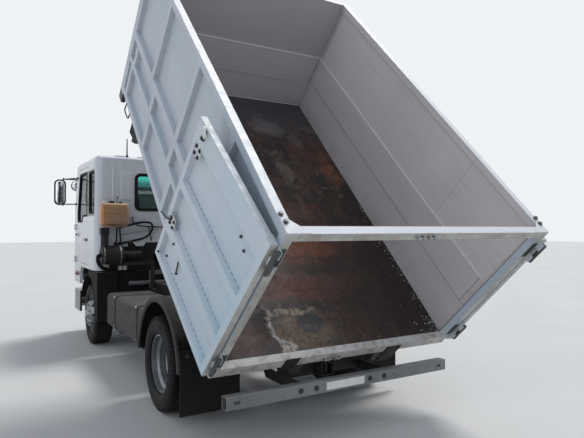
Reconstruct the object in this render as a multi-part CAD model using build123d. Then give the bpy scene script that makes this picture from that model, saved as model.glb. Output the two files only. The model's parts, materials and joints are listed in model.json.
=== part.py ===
from build123d import *
from math import atan2, cos, degrees, hypot, radians, sin
import os

# Two-axle tipping truck with a tall box bed, raised, its two barn doors folded back.
# While it is modelled: X forward, Y to the left, Z up, zero on the ground under the rear axle.
# Millimetres and degrees.

# Fits
SEAT = 0.3
PIN_GAP = 0.3
CLEAR = 6.0

# Wheels
TYRE_R = 420.0
TYRE_WIDTH = 245.0
TREAD_WIDTH = 210.0
BEAD_R = 248.0
FLANGE_R = 257.0
RIM_WIDTH = 171.0
RIM_WALL = 7.0
DROP_DEPTH = 24.0
DISC_WALL = 12.0
DISC_OFFSET = 137.5
WHEELBASE = 3245.0
FRONT_WHEEL_Y = 969.5
REAR_OUTER_Y = 1017.5
HUB_BORE_R = 40.0
REAR_HUB_R = 90.0
FRONT_HUB_R = 78.0
DRUM_R = 175.0
HAND_HOLES = 8
HAND_HOLE_R = 24.0
HAND_HOLE_PITCH_R = 190.0

# Chassis frame
RAIL_OUT_Y = 420.0
RAIL_FLANGE = 70.0
RAIL_HEIGHT = 220.0
RAIL_WALL = 8.0
RAIL_TOP = 800.0
RAIL_REAR_X = -790.0
RAIL_FRONT_X = 4200.0
SUBFRAME_HEIGHT = 100.0
SUBFRAME_REAR_X = -600.0
SUBFRAME_FRONT_X = 2350.0

# Bed, in its own frame: s forward from the rear face, h up from the sill's underside
BED_TILT = 46.34
BED_REAR_X = -1209.0
BED_REAR_Z = 578.0
BED_LENGTH = 3640.0
BED_WIDTH = 2304.0
BED_HEIGHT = 1477.0
FRAME_DEPTH = 44.0
SKIN = 4.0
TOP_RAIL = 60.0
FLOOR_TOP_H = 85.0
FLOOR_PLATE = 6.0
POST_WIDTH = 60.0
SILL_HEIGHT = 100.0
RUNNER_DEPTH = 135.0
RUNNER_IN_Y = 350.0
RUNNER_OUT_Y = 430.0

# Tipping pivot in the bed's frame
PIVOT_S = 571.0
PIVOT_H = -160.0
PIVOT_PIN_R = 25.0
PIVOT_EYE_R = 55.0

# Tail doors, in the bed's frame
LEAF_THICK = 45.0
LEAF_BOTTOM_H = 55.0
LEAF_TOP_H = 1395.0
LEAF_OPEN = 265.6
HINGE_PIN_R = 9.0
HINGE_R = 16.0
HINGE_OUT = 30.0
HINGE_BACK = 38.0
HINGE_HEIGHTS = (215.0, 1280.0)

# Cab
CAB_REAR_X = 2730.0
CAB_FRONT_X = 4350.0
CAB_HALF_Y = 1130.0
CAB_FLOOR_Z = 1056.0
CAB_ROOF_Z = 2620.0
CAB_BELT_Z = 1790.0
CAB_NOSE_Z = 800.0
CAB_WALL = 42.0
CAB_SKIN = 30.0
DOOR_REAR_X = 3225.0
DOOR_FRONT_X = 4120.0
CAB_TILT_X = 4220.0
CAB_TILT_Z = 860.0


def slab(x0, x1, y0, y1, z0, z1):
    """A box between two corners."""
    centre = ((x0 + x1) / 2, (y0 + y1) / 2, (z0 + z1) / 2)
    return Pos(*centre) * Box(abs(x1 - x0), abs(y1 - y0), abs(z1 - z0))


def tube_box(x0, x1, y0, y1, z0, z1, wall, along):
    """A rectangular tube, open at both ends of the named axis."""
    grow = {"X": (wall, 0, 0), "Y": (0, wall, 0), "Z": (0, 0, wall)}[along]
    gx, gy, gz = grow
    inner = slab(x0 + wall - 2 * gx, x1 - wall + 2 * gx,
                 y0 + wall - 2 * gy, y1 - wall + 2 * gy,
                 z0 + wall - 2 * gz, z1 - wall + 2 * gz)
    return slab(x0, x1, y0, y1, z0, z1) - inner


def rod_y(x, z, y0, y1, r):
    return Pos(x, (y0 + y1) / 2, z) * Rot(90, 0, 0) * Cylinder(r, abs(y1 - y0))


def rod_x(y, z, x0, x1, r):
    return Pos((x0 + x1) / 2, y, z) * Rot(0, 90, 0) * Cylinder(r, abs(x1 - x0))


def rod_z(x, y, z0, z1, r):
    return Pos(x, y, (z0 + z1) / 2) * Cylinder(r, abs(z1 - z0))


def side_plate(points, y0, y1):
    """An outline in X and Z, made thick from y0 to y1."""
    face = make_face(Polyline(*[(x, 0, z) for x, z in points], close=True))
    return Pos(0, y0, 0) * extrude(face, amount=y1 - y0, dir=(0, 1, 0))


def mirrored(shape):
    return mirror(shape, about=Plane.XZ)


def both(shape):
    """The shape and its mirror image across the middle of the truck."""
    return [shape, mirrored(shape)]


def fuse(shapes):
    result = shapes[0]
    for shape in shapes[1:]:
        result = result + shape
    return result


def solids_of(shapes):
    found = []
    for shape in shapes if isinstance(shapes, (list, tuple)) else [shapes]:
        found.extend(shape.solids())
    return found


def round_about_y(points):
    """A ring about Y from an outline of distance along Y and radius."""
    face = make_face(Polyline(*[(a, r, 0) for a, r in points], close=True))
    return Rot(0, 0, 90) * revolve(face, axis=Axis.X)


# Wheels

def tyre(y, x=0.0):
    half = RIM_WIDTH / 2
    wall = TYRE_WIDTH / 2
    tread = TREAD_WIDTH / 2
    bead = BEAD_R + SEAT
    foot = FLANGE_R + 6
    widest = foot + 0.43 * (TYRE_R - foot)
    shoulder = TYRE_R - 22
    lines = []
    for side in (1, -1):
        lines.append(Line((side * half, bead, 0), (side * half, foot, 0)))
        lines.append(ThreePointArc((side * half, foot, 0), (side * wall, widest, 0),
                                   (side * (wall - 8), shoulder, 0)))
        lines.append(ThreePointArc((side * (wall - 8), shoulder, 0), (side * (tread + 6), TYRE_R - 7, 0),
                                   (side * (tread - 8), TYRE_R, 0)))
    lines.append(Line((tread - 8, TYRE_R, 0), (8 - tread, TYRE_R, 0)))
    lines.append(Line((half, bead, 0), (-half, bead, 0)))
    ring = revolve(make_face(Wire(lines)), axis=Axis.X)
    return Pos(x, y, TYRE_R) * Rot(0, 0, 90) * ring


def rim_barrel():
    """Drop-centre rim with a flange on each edge, about Y."""
    half = RIM_WIDTH / 2 + SEAT
    lip = half + 8
    bead = BEAD_R
    inner = bead - RIM_WALL
    drop = bead - DROP_DEPTH
    outline = [(lip, FLANGE_R), (half, FLANGE_R), (half, bead), (half - 38, bead - 3),
               (half - 58, drop), (-half + 58, drop), (-half + 38, bead - 3), (-half, bead),
               (-half, FLANGE_R), (-lip, FLANGE_R), (-lip, inner), (-half + 36, inner - 3),
               (-half + 56, drop - RIM_WALL), (half - 56, drop - RIM_WALL),
               (half - 36, inner - 3), (lip, inner)]
    return round_about_y(outline)


def rim_disc(out, hub_r):
    """Dished disc whose flat face lies at the offset, with hand holes."""
    edge = BEAD_R - DROP_DEPTH - RIM_WALL / 2
    root = out - 111
    outline = [(out, hub_r - 10), (out, 165), (root + 6, edge), (root - 22, edge), (root - 22, edge - 10),
               (root, edge - 10), (out - DISC_WALL, 158), (out - DISC_WALL, hub_r - 10)]
    disc = round_about_y(outline)
    hole = rod_y(0, HAND_HOLE_PITCH_R, out - 90, out + 30, HAND_HOLE_R)
    for i in range(HAND_HOLES):
        disc = disc - Rot(0, i * 360 / HAND_HOLES, 0) * hole
    return disc


def front_rim(x=WHEELBASE):
    half = RIM_WIDTH / 2 + 8
    out = DISC_OFFSET
    disc = rim_disc(out, FRONT_HUB_R)
    hub = round_about_y([(-80, HUB_BORE_R + PIN_GAP), (-80, FRONT_HUB_R), (out - 6, FRONT_HUB_R),
                         (out + 30, 62), (out + 42, 50), (out + 42, 0), (out + 34, 0),
                         (out + 34, HUB_BORE_R + PIN_GAP)])
    drum = round_about_y([(-75, FRONT_HUB_R - 4), (-75, 120), (-80, DRUM_R), (half - 95, DRUM_R),
                          (half - 95, DRUM_R - 14), (-62, DRUM_R - 14), (-62, FRONT_HUB_R - 4)])
    whole = rim_barrel() + disc + hub + drum
    return Pos(x, FRONT_WHEEL_Y, TYRE_R) * whole


def rear_rims():
    mid = REAR_OUTER_Y - DISC_OFFSET
    inner_y = mid - DISC_OFFSET
    outer_disc = Rot(0, 0, 180) * rim_disc(DISC_OFFSET, REAR_HUB_R)
    outer = Pos(0, REAR_OUTER_Y, 0) * (rim_barrel() + outer_disc)
    inner = Pos(0, inner_y, 0) * (rim_barrel() + rim_disc(DISC_OFFSET, REAR_HUB_R))
    hub = Pos(0, mid, 0) * round_about_y([(-120, HUB_BORE_R + 12 + PIN_GAP), (-120, REAR_HUB_R),
                                          (95, REAR_HUB_R), (110, REAR_HUB_R - 12),
                                          (110, HUB_BORE_R + 12 + PIN_GAP)])
    drum = Pos(0, mid, 0) * round_about_y([(-80, REAR_HUB_R - 4), (-80, DRUM_R), (-235, DRUM_R),
                                           (-235, DRUM_R - 14), (-95, DRUM_R - 14),
                                           (-95, REAR_HUB_R - 4)])
    return Pos(0, 0, TYRE_R) * (outer + inner + hub + drum)


def rear_tyres():
    return [tyre(REAR_OUTER_Y), tyre(REAR_OUTER_Y - 2 * DISC_OFFSET)]


# Axles, springs and steering

KINGPIN_Y = 790.0
KINGPIN_R = 20.0
AXLE_BOSS_R = 42.0
BEAM_LOW = TYRE_R - 120.0
BEAM_HIGH = TYRE_R - 40.0
AXLE_BOSS = (TYRE_R - 60.0, TYRE_R + 60.0)
SPRING_FRONT_Y = 385.0
SPRING_REAR_Y = 500.0
SPRING_WIDTH = 70.0


ARM_LOW = AXLE_BOSS[0] - 46.0
TIE_ROD_BACK = 190.0


def front_axle_beam():
    x = WHEELBASE
    low = BEAM_LOW
    web = []
    for side in (1, -1):
        web.append(side_plate([(x - 30, low), (x + 30, low), (x + 30, BEAM_HIGH), (x - 30, BEAM_HIGH)],
                              0, side * 560))
        arm = Polyline((0, side * 540, low), (0, side * KINGPIN_Y, AXLE_BOSS[0] + 10),
                       (0, side * KINGPIN_Y, AXLE_BOSS[1] - 20), (0, side * 540, BEAM_HIGH), close=True)
        web.append(Pos(x - 30, 0, 0) * extrude(make_face(arm), amount=60, dir=(1, 0, 0)))
        web.append(rod_z(x, side * KINGPIN_Y, *AXLE_BOSS, AXLE_BOSS_R))
        web.append(rod_z(x, side * KINGPIN_Y, AXLE_BOSS[0] - 48, AXLE_BOSS[1] + 48, KINGPIN_R))
    beam = fuse(web)
    for face in (1, -1):
        flute = slab(x + face * 16, x + face * 40, -520, 520, low + 16, low + 64)
        beam = beam - flute
    return beam


def knuckle():
    x = WHEELBASE
    y = KINGPIN_Y
    parts = []
    for z0, z1 in ((AXLE_BOSS[0] - 46, AXLE_BOSS[0] - CLEAR), (AXLE_BOSS[1] + CLEAR, AXLE_BOSS[1] + 46)):
        parts.append(rod_z(x, y, z0, z1, 40))
        parts.append(slab(x - 38, x + 38, y, y + 86, z0, z1))
    parts.append(slab(x - 38, x + 38, y + 54, y + 86, AXLE_BOSS[0] - 46, AXLE_BOSS[1] + 46))
    parts.append(rod_y(x, TYRE_R, y + 80, FRONT_WHEEL_Y + DISC_OFFSET + 20, HUB_BORE_R))
    parts.append(slab(x - TIE_ROD_BACK, x - 20, y - 20, y + 20, ARM_LOW, ARM_LOW + 20))
    body = fuse(parts) - rod_z(x, y, ARM_LOW - 100, AXLE_BOSS[1] + 100, KINGPIN_R + PIN_GAP)
    ball = rod_z(x - TIE_ROD_BACK, y, ARM_LOW - 26, ARM_LOW + 30, 22)
    return body + ball


SPRING_SEAT_TOP = TYRE_R + 88.0
AXLE_NOSE_X = 240.0
GEARBOX_TAIL_X = 2060.0


def rear_axle_housing():
    mid = REAR_OUTER_Y - DISC_OFFSET
    tube = rod_y(0, TYRE_R, -(mid + 100), mid + 100, HUB_BORE_R + 12)
    thick = rod_y(0, TYRE_R, -620, 620, 68)
    banjo = Pos(0, 0, TYRE_R) * Rot(0, 90, 0) * Cylinder(185, 190)
    banjo = fillet(banjo.edges(), 60)
    nose = Pos(AXLE_NOSE_X - 75, 0, TYRE_R) * Rot(0, 90, 0) * Cone(110, 60, 150)
    body = tube + thick + banjo + nose
    for side in (1, -1):
        seat = slab(-60, 60, side * (SPRING_REAR_Y - 40), side * (SPRING_REAR_Y + 40),
                    TYRE_R + 40, SPRING_SEAT_TOP)
        body = body + seat
    return body


LEAF_THICK_Z = 13.0
LEAF_SHORTER = 0.13
FRONT_SPAN = 620.0
REAR_SPAN = 570.0


def leaf_spring(x_mid, y, z_axle, half_span, eye_z, leaves):
    """A pack of leaves, each one an arc slice shorter than the one above it."""
    parts = []
    thick = LEAF_THICK_Z
    sag = eye_z - (z_axle + leaves * thick)
    radius = (half_span ** 2 + sag ** 2) / (2 * sag)
    for i in range(leaves):
        span = half_span * (1.0 - LEAF_SHORTER * i)
        top = z_axle + (leaves - i) * thick
        centre = top + radius
        angle = degrees(span / radius)
        outer = radius + thick
        p0 = (x_mid - outer * sin(radians(angle)), 0, centre - outer * cos(radians(angle)))
        p1 = (x_mid + outer * sin(radians(angle)), 0, centre - outer * cos(radians(angle)))
        q0 = (x_mid - radius * sin(radians(angle)), 0, centre - radius * cos(radians(angle)))
        q1 = (x_mid + radius * sin(radians(angle)), 0, centre - radius * cos(radians(angle)))
        edge = Wire([ThreePointArc(p0, (x_mid, 0, centre - outer), p1), Line(p1, q1),
                     ThreePointArc(q1, (x_mid, 0, centre - radius), q0), Line(q0, p0)])
        parts.append(Pos(0, y - SPRING_WIDTH / 2, 0)
                     * extrude(make_face(edge), amount=SPRING_WIDTH, dir=(0, 1, 0)))
    return fuse(parts)


def leaf_springs():
    found = []
    for side in (1, -1):
        front = leaf_spring(WHEELBASE, side * SPRING_FRONT_Y, BEAM_HIGH + SEAT, FRONT_SPAN,
                            BEAM_HIGH + 160, 5)
        blocks = [slab(WHEELBASE + dx - 35, WHEELBASE + dx + 35, side * (SPRING_FRONT_Y - 35),
                       side * (SPRING_FRONT_Y + 35), BEAM_HIGH + 140, RAIL_TOP - RAIL_HEIGHT - SEAT)
                  for dx in (30 - FRONT_SPAN, FRONT_SPAN - 30)]
        found.append(fuse([front] + blocks))
        rear = leaf_spring(0, side * SPRING_REAR_Y, SPRING_SEAT_TOP + SEAT, REAR_SPAN, 650, 6)
        hangers = [slab(dx - 30, dx + 30, side * (RAIL_OUT_Y + SEAT), side * (SPRING_REAR_Y + 35), 630, 740)
                   for dx in (40 - REAR_SPAN, REAR_SPAN - 40)]
        found.append(fuse([rear] + hangers))
    return found


# Chassis frame

def chassis_rails():
    bottom = RAIL_TOP - RAIL_HEIGHT
    outer = slab(RAIL_REAR_X, RAIL_FRONT_X, RAIL_OUT_Y - RAIL_FLANGE, RAIL_OUT_Y, bottom, RAIL_TOP)
    inner = slab(RAIL_REAR_X - 10, RAIL_FRONT_X + 10, RAIL_OUT_Y - RAIL_FLANGE - 10,
                 RAIL_OUT_Y - RAIL_WALL, bottom + RAIL_WALL, RAIL_TOP - RAIL_WALL)
    return both(outer - inner)


HOIST_X = 350.0
HOIST_Z = 660.0
TRUNNION_R = 22.0
CRADLE_BAR_X = 210.0


def chassis_crossmembers():
    reach = RAIL_OUT_Y - RAIL_WALL - SEAT
    low = RAIL_TOP - RAIL_HEIGHT + 70
    high = RAIL_TOP - 20
    found = []
    for x in (1250.0, 1900.0, 4080.0):
        outer = slab(x - 40, x + 40, -reach, reach, low, high)
        inner = slab(x - 34, x + 50, -reach - 5, reach + 5, low + 6, high - 6)
        found.append(outer - inner)
    tail = slab(RAIL_REAR_X + 4, RAIL_REAR_X + 94, -reach, reach, RAIL_TOP - RAIL_HEIGHT + 10, RAIL_TOP - 10)
    hollow = slab(RAIL_REAR_X + 12, RAIL_REAR_X + 104, -reach - 5, reach + 5, RAIL_TOP - RAIL_HEIGHT + 18,
                  RAIL_TOP - 18)
    hitch = [slab(RAIL_REAR_X - 70, RAIL_REAR_X + 6, side * 60, side * 84, 610, 740) for side in (1, -1)]
    pin_hole = rod_y(RAIL_REAR_X - 38, 675, -100, 100, 20)
    found.append(fuse([tail - hollow] + hitch) - pin_hole)
    for dx in (-CRADLE_BAR_X, CRADLE_BAR_X):
        found.append(slab(HOIST_X + dx - 25, HOIST_X + dx + 25, -reach, reach, HOIST_Z - 45, HOIST_Z + 45))
    half = CRADLE_BAR_X - 25 - SEAT
    for side in (1, -1):
        plate = slab(HOIST_X - half, HOIST_X + half, side * 115, side * 140, HOIST_Z - 50, HOIST_Z + 50)
        found.append(plate - rod_y(HOIST_X, HOIST_Z, -200, 200, TRUNNION_R + PIN_GAP))
    return found


def bed_point(s, h):
    """Where a point of the raised bed lies in X and Z."""
    t = radians(BED_TILT)
    return (BED_REAR_X + s * cos(t) - h * sin(t), BED_REAR_Z + s * sin(t) + h * cos(t))


PIVOT = bed_point(PIVOT_S, PIVOT_H)
FOOT_LOW = 660.0


def bed_subframe():
    low = RAIL_TOP + SEAT
    high = RAIL_TOP + SUBFRAME_HEIGHT
    found = []
    for side in (1, -1):
        beam = tube_box(SUBFRAME_REAR_X, SUBFRAME_FRONT_X, side * 350 if side > 0 else -420,
                        side * 420 if side > 0 else -350, low, high, 7, "X")
        found.append(beam)
        y0 = RAIL_OUT_Y + SEAT
        y1 = RUNNER_OUT_Y + 16
        foot = side_plate([(PIVOT[0] - 80, FOOT_LOW), (PIVOT[0] + 98, FOOT_LOW), (PIVOT[0] + 98, 760),
                           (PIVOT[0] + 50, PIVOT[1]), (PIVOT[0] - 50, PIVOT[1]), (PIVOT[0] - 80, 760)],
                          y1 - 10, y1 + 12)
        pad = slab(PIVOT[0] - 80, PIVOT[0] + 98, y0, y1 - 5, FOOT_LOW, 760)
        boss = rod_y(*PIVOT, y1 - 10, y1 + 12, 52)
        pin = rod_y(*PIVOT, y1 + 5, y1 + 60, PIVOT_PIN_R)
        ear = foot + pad + boss + pin
        found.append(ear if side > 0 else mirrored(ear))
    return found


ENGINE_X = (2900.0, 3760.0)
ENGINE_HALF = 300.0
ENGINE_Z = (640.0, 1190.0)
GEARBOX_REAR_X = 2150.0
GEARBOX_HALF = 190.0
GEARBOX_Z = (560.0, 838.0)
SHAFT_FRONT_Z = 598.0
FLANGE_DISC_R = 60.0


def engine_block():
    engine = slab(*ENGINE_X, -ENGINE_HALF, ENGINE_HALF, *ENGINE_Z)
    gearbox = slab(GEARBOX_REAR_X, ENGINE_X[0] + 10, -GEARBOX_HALF, GEARBOX_HALF, *GEARBOX_Z)
    tail = rod_x(0, SHAFT_FRONT_Z, GEARBOX_TAIL_X, GEARBOX_REAR_X + 10, FLANGE_DISC_R)
    return engine + gearbox + tail


def propeller_shaft():
    x0, z0 = AXLE_NOSE_X + 10, TYRE_R + 2
    x1, z1 = GEARBOX_TAIL_X - 10, SHAFT_FRONT_Z
    length = hypot(x1 - x0, z1 - z0)
    turn = degrees(atan2(z1 - z0, x1 - x0))
    tube = Rot(0, 90, 0) * Cylinder(42, length)
    joints = [Pos(dx, 0, 0) * Sphere(56) for dx in (-length / 2 + 62, length / 2 - 62)]
    shaft = Pos((x0 + x1) / 2, 0, (z0 + z1) / 2) * Rot(0, -turn, 0) * fuse([tube] + joints)
    flanges = [rod_x(0, z0, AXLE_NOSE_X + SEAT, x0 + 12, FLANGE_DISC_R),
               rod_x(0, z1, x1 - 12, GEARBOX_TAIL_X - SEAT, FLANGE_DISC_R)]
    return fuse([shaft] + flanges)


BAR_REAR_X = -1328.0
BAR_Z = 413.0
BAR_HALF = 1067.0
BAR_DEPTH = 80.0
BAR_HEIGHT = 89.0
BAR_WALL = 5.0


def underrun_bar():
    x_rear = BAR_REAR_X
    z = BAR_Z
    bar = tube_box(x_rear, x_rear + BAR_DEPTH, -BAR_HALF, BAR_HALF, z - BAR_HEIGHT / 2, z + BAR_HEIGHT / 2,
                   BAR_WALL, "Y")
    arms = []
    for side in (1, -1):
        y0 = RAIL_OUT_Y + SEAT
        arm = side_plate([(x_rear + 79, z - 40), (RAIL_REAR_X + 60, z - 40), (RAIL_REAR_X + 130, z + 60),
                          (RAIL_REAR_X + 130, FOOT_LOW - CLEAR), (RAIL_REAR_X + 10, FOOT_LOW - CLEAR),
                          (RAIL_REAR_X + 10, z + 44), (x_rear + 79, z + 44)], y0, y0 + 14)
        arms.append(arm if side > 0 else mirrored(arm))
    return fuse([bar] + arms)


# Fuel tank, batteries, air tanks, silencer

TANK = (790.0, 2350.0, 475.0, 1050.0, 388.0, 800.0)
TANK_CORNER = 55.0
STRAP_WALL = 5.0
STRAP_XS = (990.0, 1945.0)


def fuel_tank():
    x0, x1, y0, y1, z0, z1 = TANK
    body = slab(x0, x1, y0, y1, z0, z1)
    body = fillet(body.edges().filter_by(Axis.X), TANK_CORNER)
    cap = rod_z(x0 + 80, y1 - 120, z1 - 5, z1 + 38, 45)
    return body + cap


def tank_straps():
    x0, x1, y0, y1, z0, z1 = TANK
    found = []
    out = STRAP_WALL + SEAT
    for x in STRAP_XS:
        outer = slab(x - 22, x + 22, y0 - out, y1 + out, z0 - out, z1 + out)
        outer = fillet(outer.edges().filter_by(Axis.X), TANK_CORNER + 3)
        inner = slab(x - 40, x + 40, y0 - SEAT, y1 + SEAT, z0 - SEAT, z1 + SEAT)
        inner = fillet(inner.edges().filter_by(Axis.X), TANK_CORNER - 1)
        shelf = slab(x - 30, x + 30, RAIL_OUT_Y + SEAT, y1 - 60, z0 - 42, z0 - STRAP_WALL)
        back = slab(x - 30, x + 30, RAIL_OUT_Y + SEAT, y0 - 4, z0 - 42, z1 - 60)
        found.append((outer - inner) + shelf + back)
    return found


BATTERY_X = (1640.0, 2280.0)
BATTERY_Y = (-1040.0, -500.0)
BATTERY_Z = (400.0, 790.0)


def battery_box():
    box = slab(*BATTERY_X, *BATTERY_Y, *BATTERY_Z)
    lid = slab(BATTERY_X[0] - 10, BATTERY_X[1] + 10, BATTERY_Y[0] - 10, BATTERY_Y[1] + 10,
               BATTERY_Z[1] - 20, BATTERY_Z[1] + 10)
    arms = [slab(x - 30, x + 30, BATTERY_Y[1] - 10, -(RAIL_OUT_Y + SEAT), 600, 700)
            for x in (BATTERY_X[0] + 80, BATTERY_X[1] - 80)]
    return fuse([box, lid] + arms)


AIR_TANK_X = (780.0, 1500.0)
AIR_TANK_Z = 560.0
AIR_TANK_R = 115.0


def air_tanks():
    found = []
    for y in (-640.0, -900.0):
        tank = rod_x(y, AIR_TANK_Z, *AIR_TANK_X, AIR_TANK_R)
        tank = fillet(tank.edges(), 40)
        found.append(tank)
    bridge = [slab(x - 20, x + 20, -960, -(RAIL_OUT_Y + SEAT), AIR_TANK_Z + 100, AIR_TANK_Z + 140)
              for x in (AIR_TANK_X[0] + 120, AIR_TANK_X[1] - 120)]
    return fuse(found + bridge)


MUFFLER_X = 2480.0
MUFFLER_Z = 500.0
MUFFLER_R = 130.0
MUFFLER_Y = (-1000.0, -470.0)


def exhaust_muffler():
    can = rod_y(MUFFLER_X, MUFFLER_Z, *MUFFLER_Y, MUFFLER_R)
    can = fillet(can.edges(), 35)
    pipe = rod_y(MUFFLER_X, MUFFLER_Z, MUFFLER_Y[1] - 10, -250, 38)
    hanger = slab(MUFFLER_X - 25, MUFFLER_X + 25, MUFFLER_Y[1] - 90, -(RAIL_OUT_Y + SEAT), 610, 720)
    return can + pipe + hanger


FLAP_LOW = 120.0


def rear_mudguards():
    """An arch over each pair of rear wheels, with its flap hanging behind."""
    outer_r = TYRE_R + 175
    y0, y1 = 610.0, REAR_OUTER_Y + TYRE_WIDTH / 2
    ring = rod_y(0, TYRE_R, y0, y1, outer_r) - rod_y(0, TYRE_R, y0 - 5, y1 + 5, outer_r - 6)
    arch = ring - slab(-700, 700, y0 - 10, y1 + 10, -300, TYRE_R + 30)
    lip = (rod_y(0, TYRE_R, y1 - 6, y1, outer_r) - rod_y(0, TYRE_R, y1 - 10, y1 + 5, outer_r - 26)
           - slab(-700, 700, y0 - 10, y1 + 10, -300, TYRE_R + 30))
    flap = slab(-outer_r - 4, -outer_r + 4, y0, y1, FLAP_LOW, TYRE_R + 220)
    stay_z = max(TYRE_R + 180, RAIL_TOP - RAIL_HEIGHT + 20)
    stay_x = (outer_r ** 2 - (stay_z - TYRE_R) ** 2) ** 0.5 - 2
    stays = [rod_y(end * stay_x, stay_z, RAIL_OUT_Y + SEAT, y0 + 20, 16) for end in (1, -1)]
    return both(fuse([arch, lip, flap] + stays))


# Front end

GUARD_REAR_X = CAB_REAR_X - 94.0
GUARD_TOP = CAB_FLOOR_Z - 16.0
GUARD_LOW = 400.0
GUARD_IN_Y = 865.0
GUARD_OUT_Y = 1118.0
GUARD_WALL = 6.0


def front_mudguards():
    """An arch over each front wheel, boxed in behind by an upright apron under the cab's corner."""
    inner_r = TYRE_R + 125
    x = WHEELBASE
    y0, y1 = GUARD_IN_Y, GUARD_OUT_Y
    ring = rod_y(x, TYRE_R, y0, y1, inner_r + 5) - rod_y(x, TYRE_R, y0 - 5, y1 + 5, inner_r)
    arch = ring - slab(x - 700, x + 700, y0 - 10, y1 + 10, -300, TYRE_R + 180)
    reach = inner_r + 15
    stay = rod_y(x - reach * cos(radians(24)), TYRE_R + reach * sin(radians(24)),
                 RAIL_OUT_Y + SEAT, y0 + 20, 14)
    apron = slab(GUARD_REAR_X, GUARD_REAR_X + GUARD_WALL, y0, y1, GUARD_LOW, GUARD_TOP)
    shelf = slab(GUARD_REAR_X, x, y0, y1, GUARD_TOP - GUARD_WALL, GUARD_TOP)
    web = slab(GUARD_REAR_X, x, y1 - GUARD_WALL, y1, GUARD_LOW, GUARD_TOP)
    web = web - rod_y(x, TYRE_R, y0, y1 + 5, inner_r + 2)
    return both(fuse([arch, web, apron, shelf, stay]))


TOW_X = 4470.0
TOW_Z = 470.0
TOW_IN_Y = 372.0
TOW_PLATE = 24.0
TOW_HOLE_R = 18.0
TOW_EYE_R = 34.0


BUMPER_FRONT_X = 4430.0
BUMPER_REAR_X = 3830.0
BUMPER_HALF = 1120.0
BUMPER_Z = (380.0, 690.0)
BUMPER_CORNER = 160.0
BUMPER_WALL = 30.0


def front_bumper():
    """Shell with rounded corners, its two brackets, a step inside each corner and the towing eyes."""
    z0, z1 = BUMPER_Z
    shell = slab(BUMPER_REAR_X, BUMPER_FRONT_X, -BUMPER_HALF, BUMPER_HALF, z0, z1)
    shell = fillet(shell.edges().filter_by(Axis.Z).sort_by(Axis.X)[2:], BUMPER_CORNER)
    hollow = BUMPER_HALF - BUMPER_WALL
    inner = slab(BUMPER_REAR_X - 130, BUMPER_FRONT_X - BUMPER_WALL, -hollow, hollow, z0 - 10, z1 - 25)
    shell = shell - inner - slab(BUMPER_REAR_X - 130, BUMPER_FRONT_X - 130, -700, 700, z0 - 50, z1 + 50)
    parts = [shell]
    back = BUMPER_FRONT_X - BUMPER_WALL
    for side in (1, -1):
        parts.append(slab(RAIL_FRONT_X + SEAT, back + 5, side * 360, side * (RAIL_OUT_Y - 4), 590, 660))
        parts.append(slab(BUMPER_REAR_X + 10, back - 170, side * 900, side * (hollow + 20), 500, 515))
        y0, y1 = side * TOW_IN_Y, side * (TOW_IN_Y + TOW_PLATE)
        parts.append(slab(back - 5, TOW_X, y0, y1, TOW_Z - TOW_EYE_R, TOW_Z + TOW_EYE_R))
        parts.append(rod_y(TOW_X, TOW_Z, y0, y1, TOW_EYE_R))
    return fuse(parts) - rod_y(TOW_X, TOW_Z, -600, 600, TOW_HOLE_R)


# Cab

CAB_OUTLINE = [(CAB_REAR_X, CAB_FLOOR_Z), (CAB_REAR_X, CAB_ROOF_Z - 80), (CAB_REAR_X + 60, CAB_ROOF_Z - 10),
               (CAB_REAR_X + 120, CAB_ROOF_Z), (3940, CAB_ROOF_Z), (4040, CAB_ROOF_Z - 50),
               (CAB_FRONT_X - 50, CAB_BELT_Z), (CAB_FRONT_X, CAB_BELT_Z - 90), (CAB_FRONT_X, CAB_NOSE_Z),
               (3800, CAB_NOSE_Z), (3790, 960), (3720, CAB_FLOOR_Z)]
DOOR_OUTLINE = [(DOOR_REAR_X, CAB_FLOOR_Z + 60), (DOOR_REAR_X, 2490), (3880, 2490), (4100, 1830),
                (DOOR_FRONT_X, 1740), (DOOR_FRONT_X, 840), (3850, 840), (3835, 985), (3760, CAB_FLOOR_Z + 60)]
WINDOW_OUTLINE = [(DOOR_REAR_X + 75, 1800), (DOOR_REAR_X + 75, 2420), (3830, 2420), (4010, 1860),
                  (4000, 1720), (3640, 1720), (3600, 1800)]
QUARTER_OUTLINE = [(CAB_REAR_X + 90, 1830), (CAB_REAR_X + 90, 2400), (DOOR_REAR_X - 80, 2400),
                   (DOOR_REAR_X - 80, 1830)]
CAB_IN_Y = CAB_HALF_Y - CAB_WALL
CAB_REAR_CORNER = 100.0
CAB_FRONT_CORNER = 110.0
CAB_ROOF_CORNER = 90.0
CAB_RIB = 9.0
GLASS_WALL = 6.0
GLASS_IN_Y = CAB_HALF_Y - 24.0
TUNNEL_HALF = 345.0
TUNNEL_TOP = 1255.0


def outline_face(points):
    return make_face(Polyline(*[(x, z) for x, z in points], close=True))


def grown(points, by):
    """The outline moved outward, for a plate that fits in a hole or the other way round."""
    return offset(outline_face(points), amount=by, kind=Kind.INTERSECTION)


def plate_from(face, y0, y1):
    """A flat face drawn in X and Z, stood up and made thick from y0 to y1."""
    standing = Plane((0, y1, 0), x_dir=(1, 0, 0), z_dir=(0, -1, 0)).location * face
    return extrude(standing, amount=y1 - y0, dir=(0, -1, 0))


DOOR_HINGE_X = DOOR_FRONT_X + 10
DOOR_HINGE_Y = CAB_HALF_Y + 18
DOOR_HINGE_R = 12.0
DOOR_PIN_R = 7.0
DOOR_HINGE_HEIGHTS = (1150.0, 1640.0)


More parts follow.
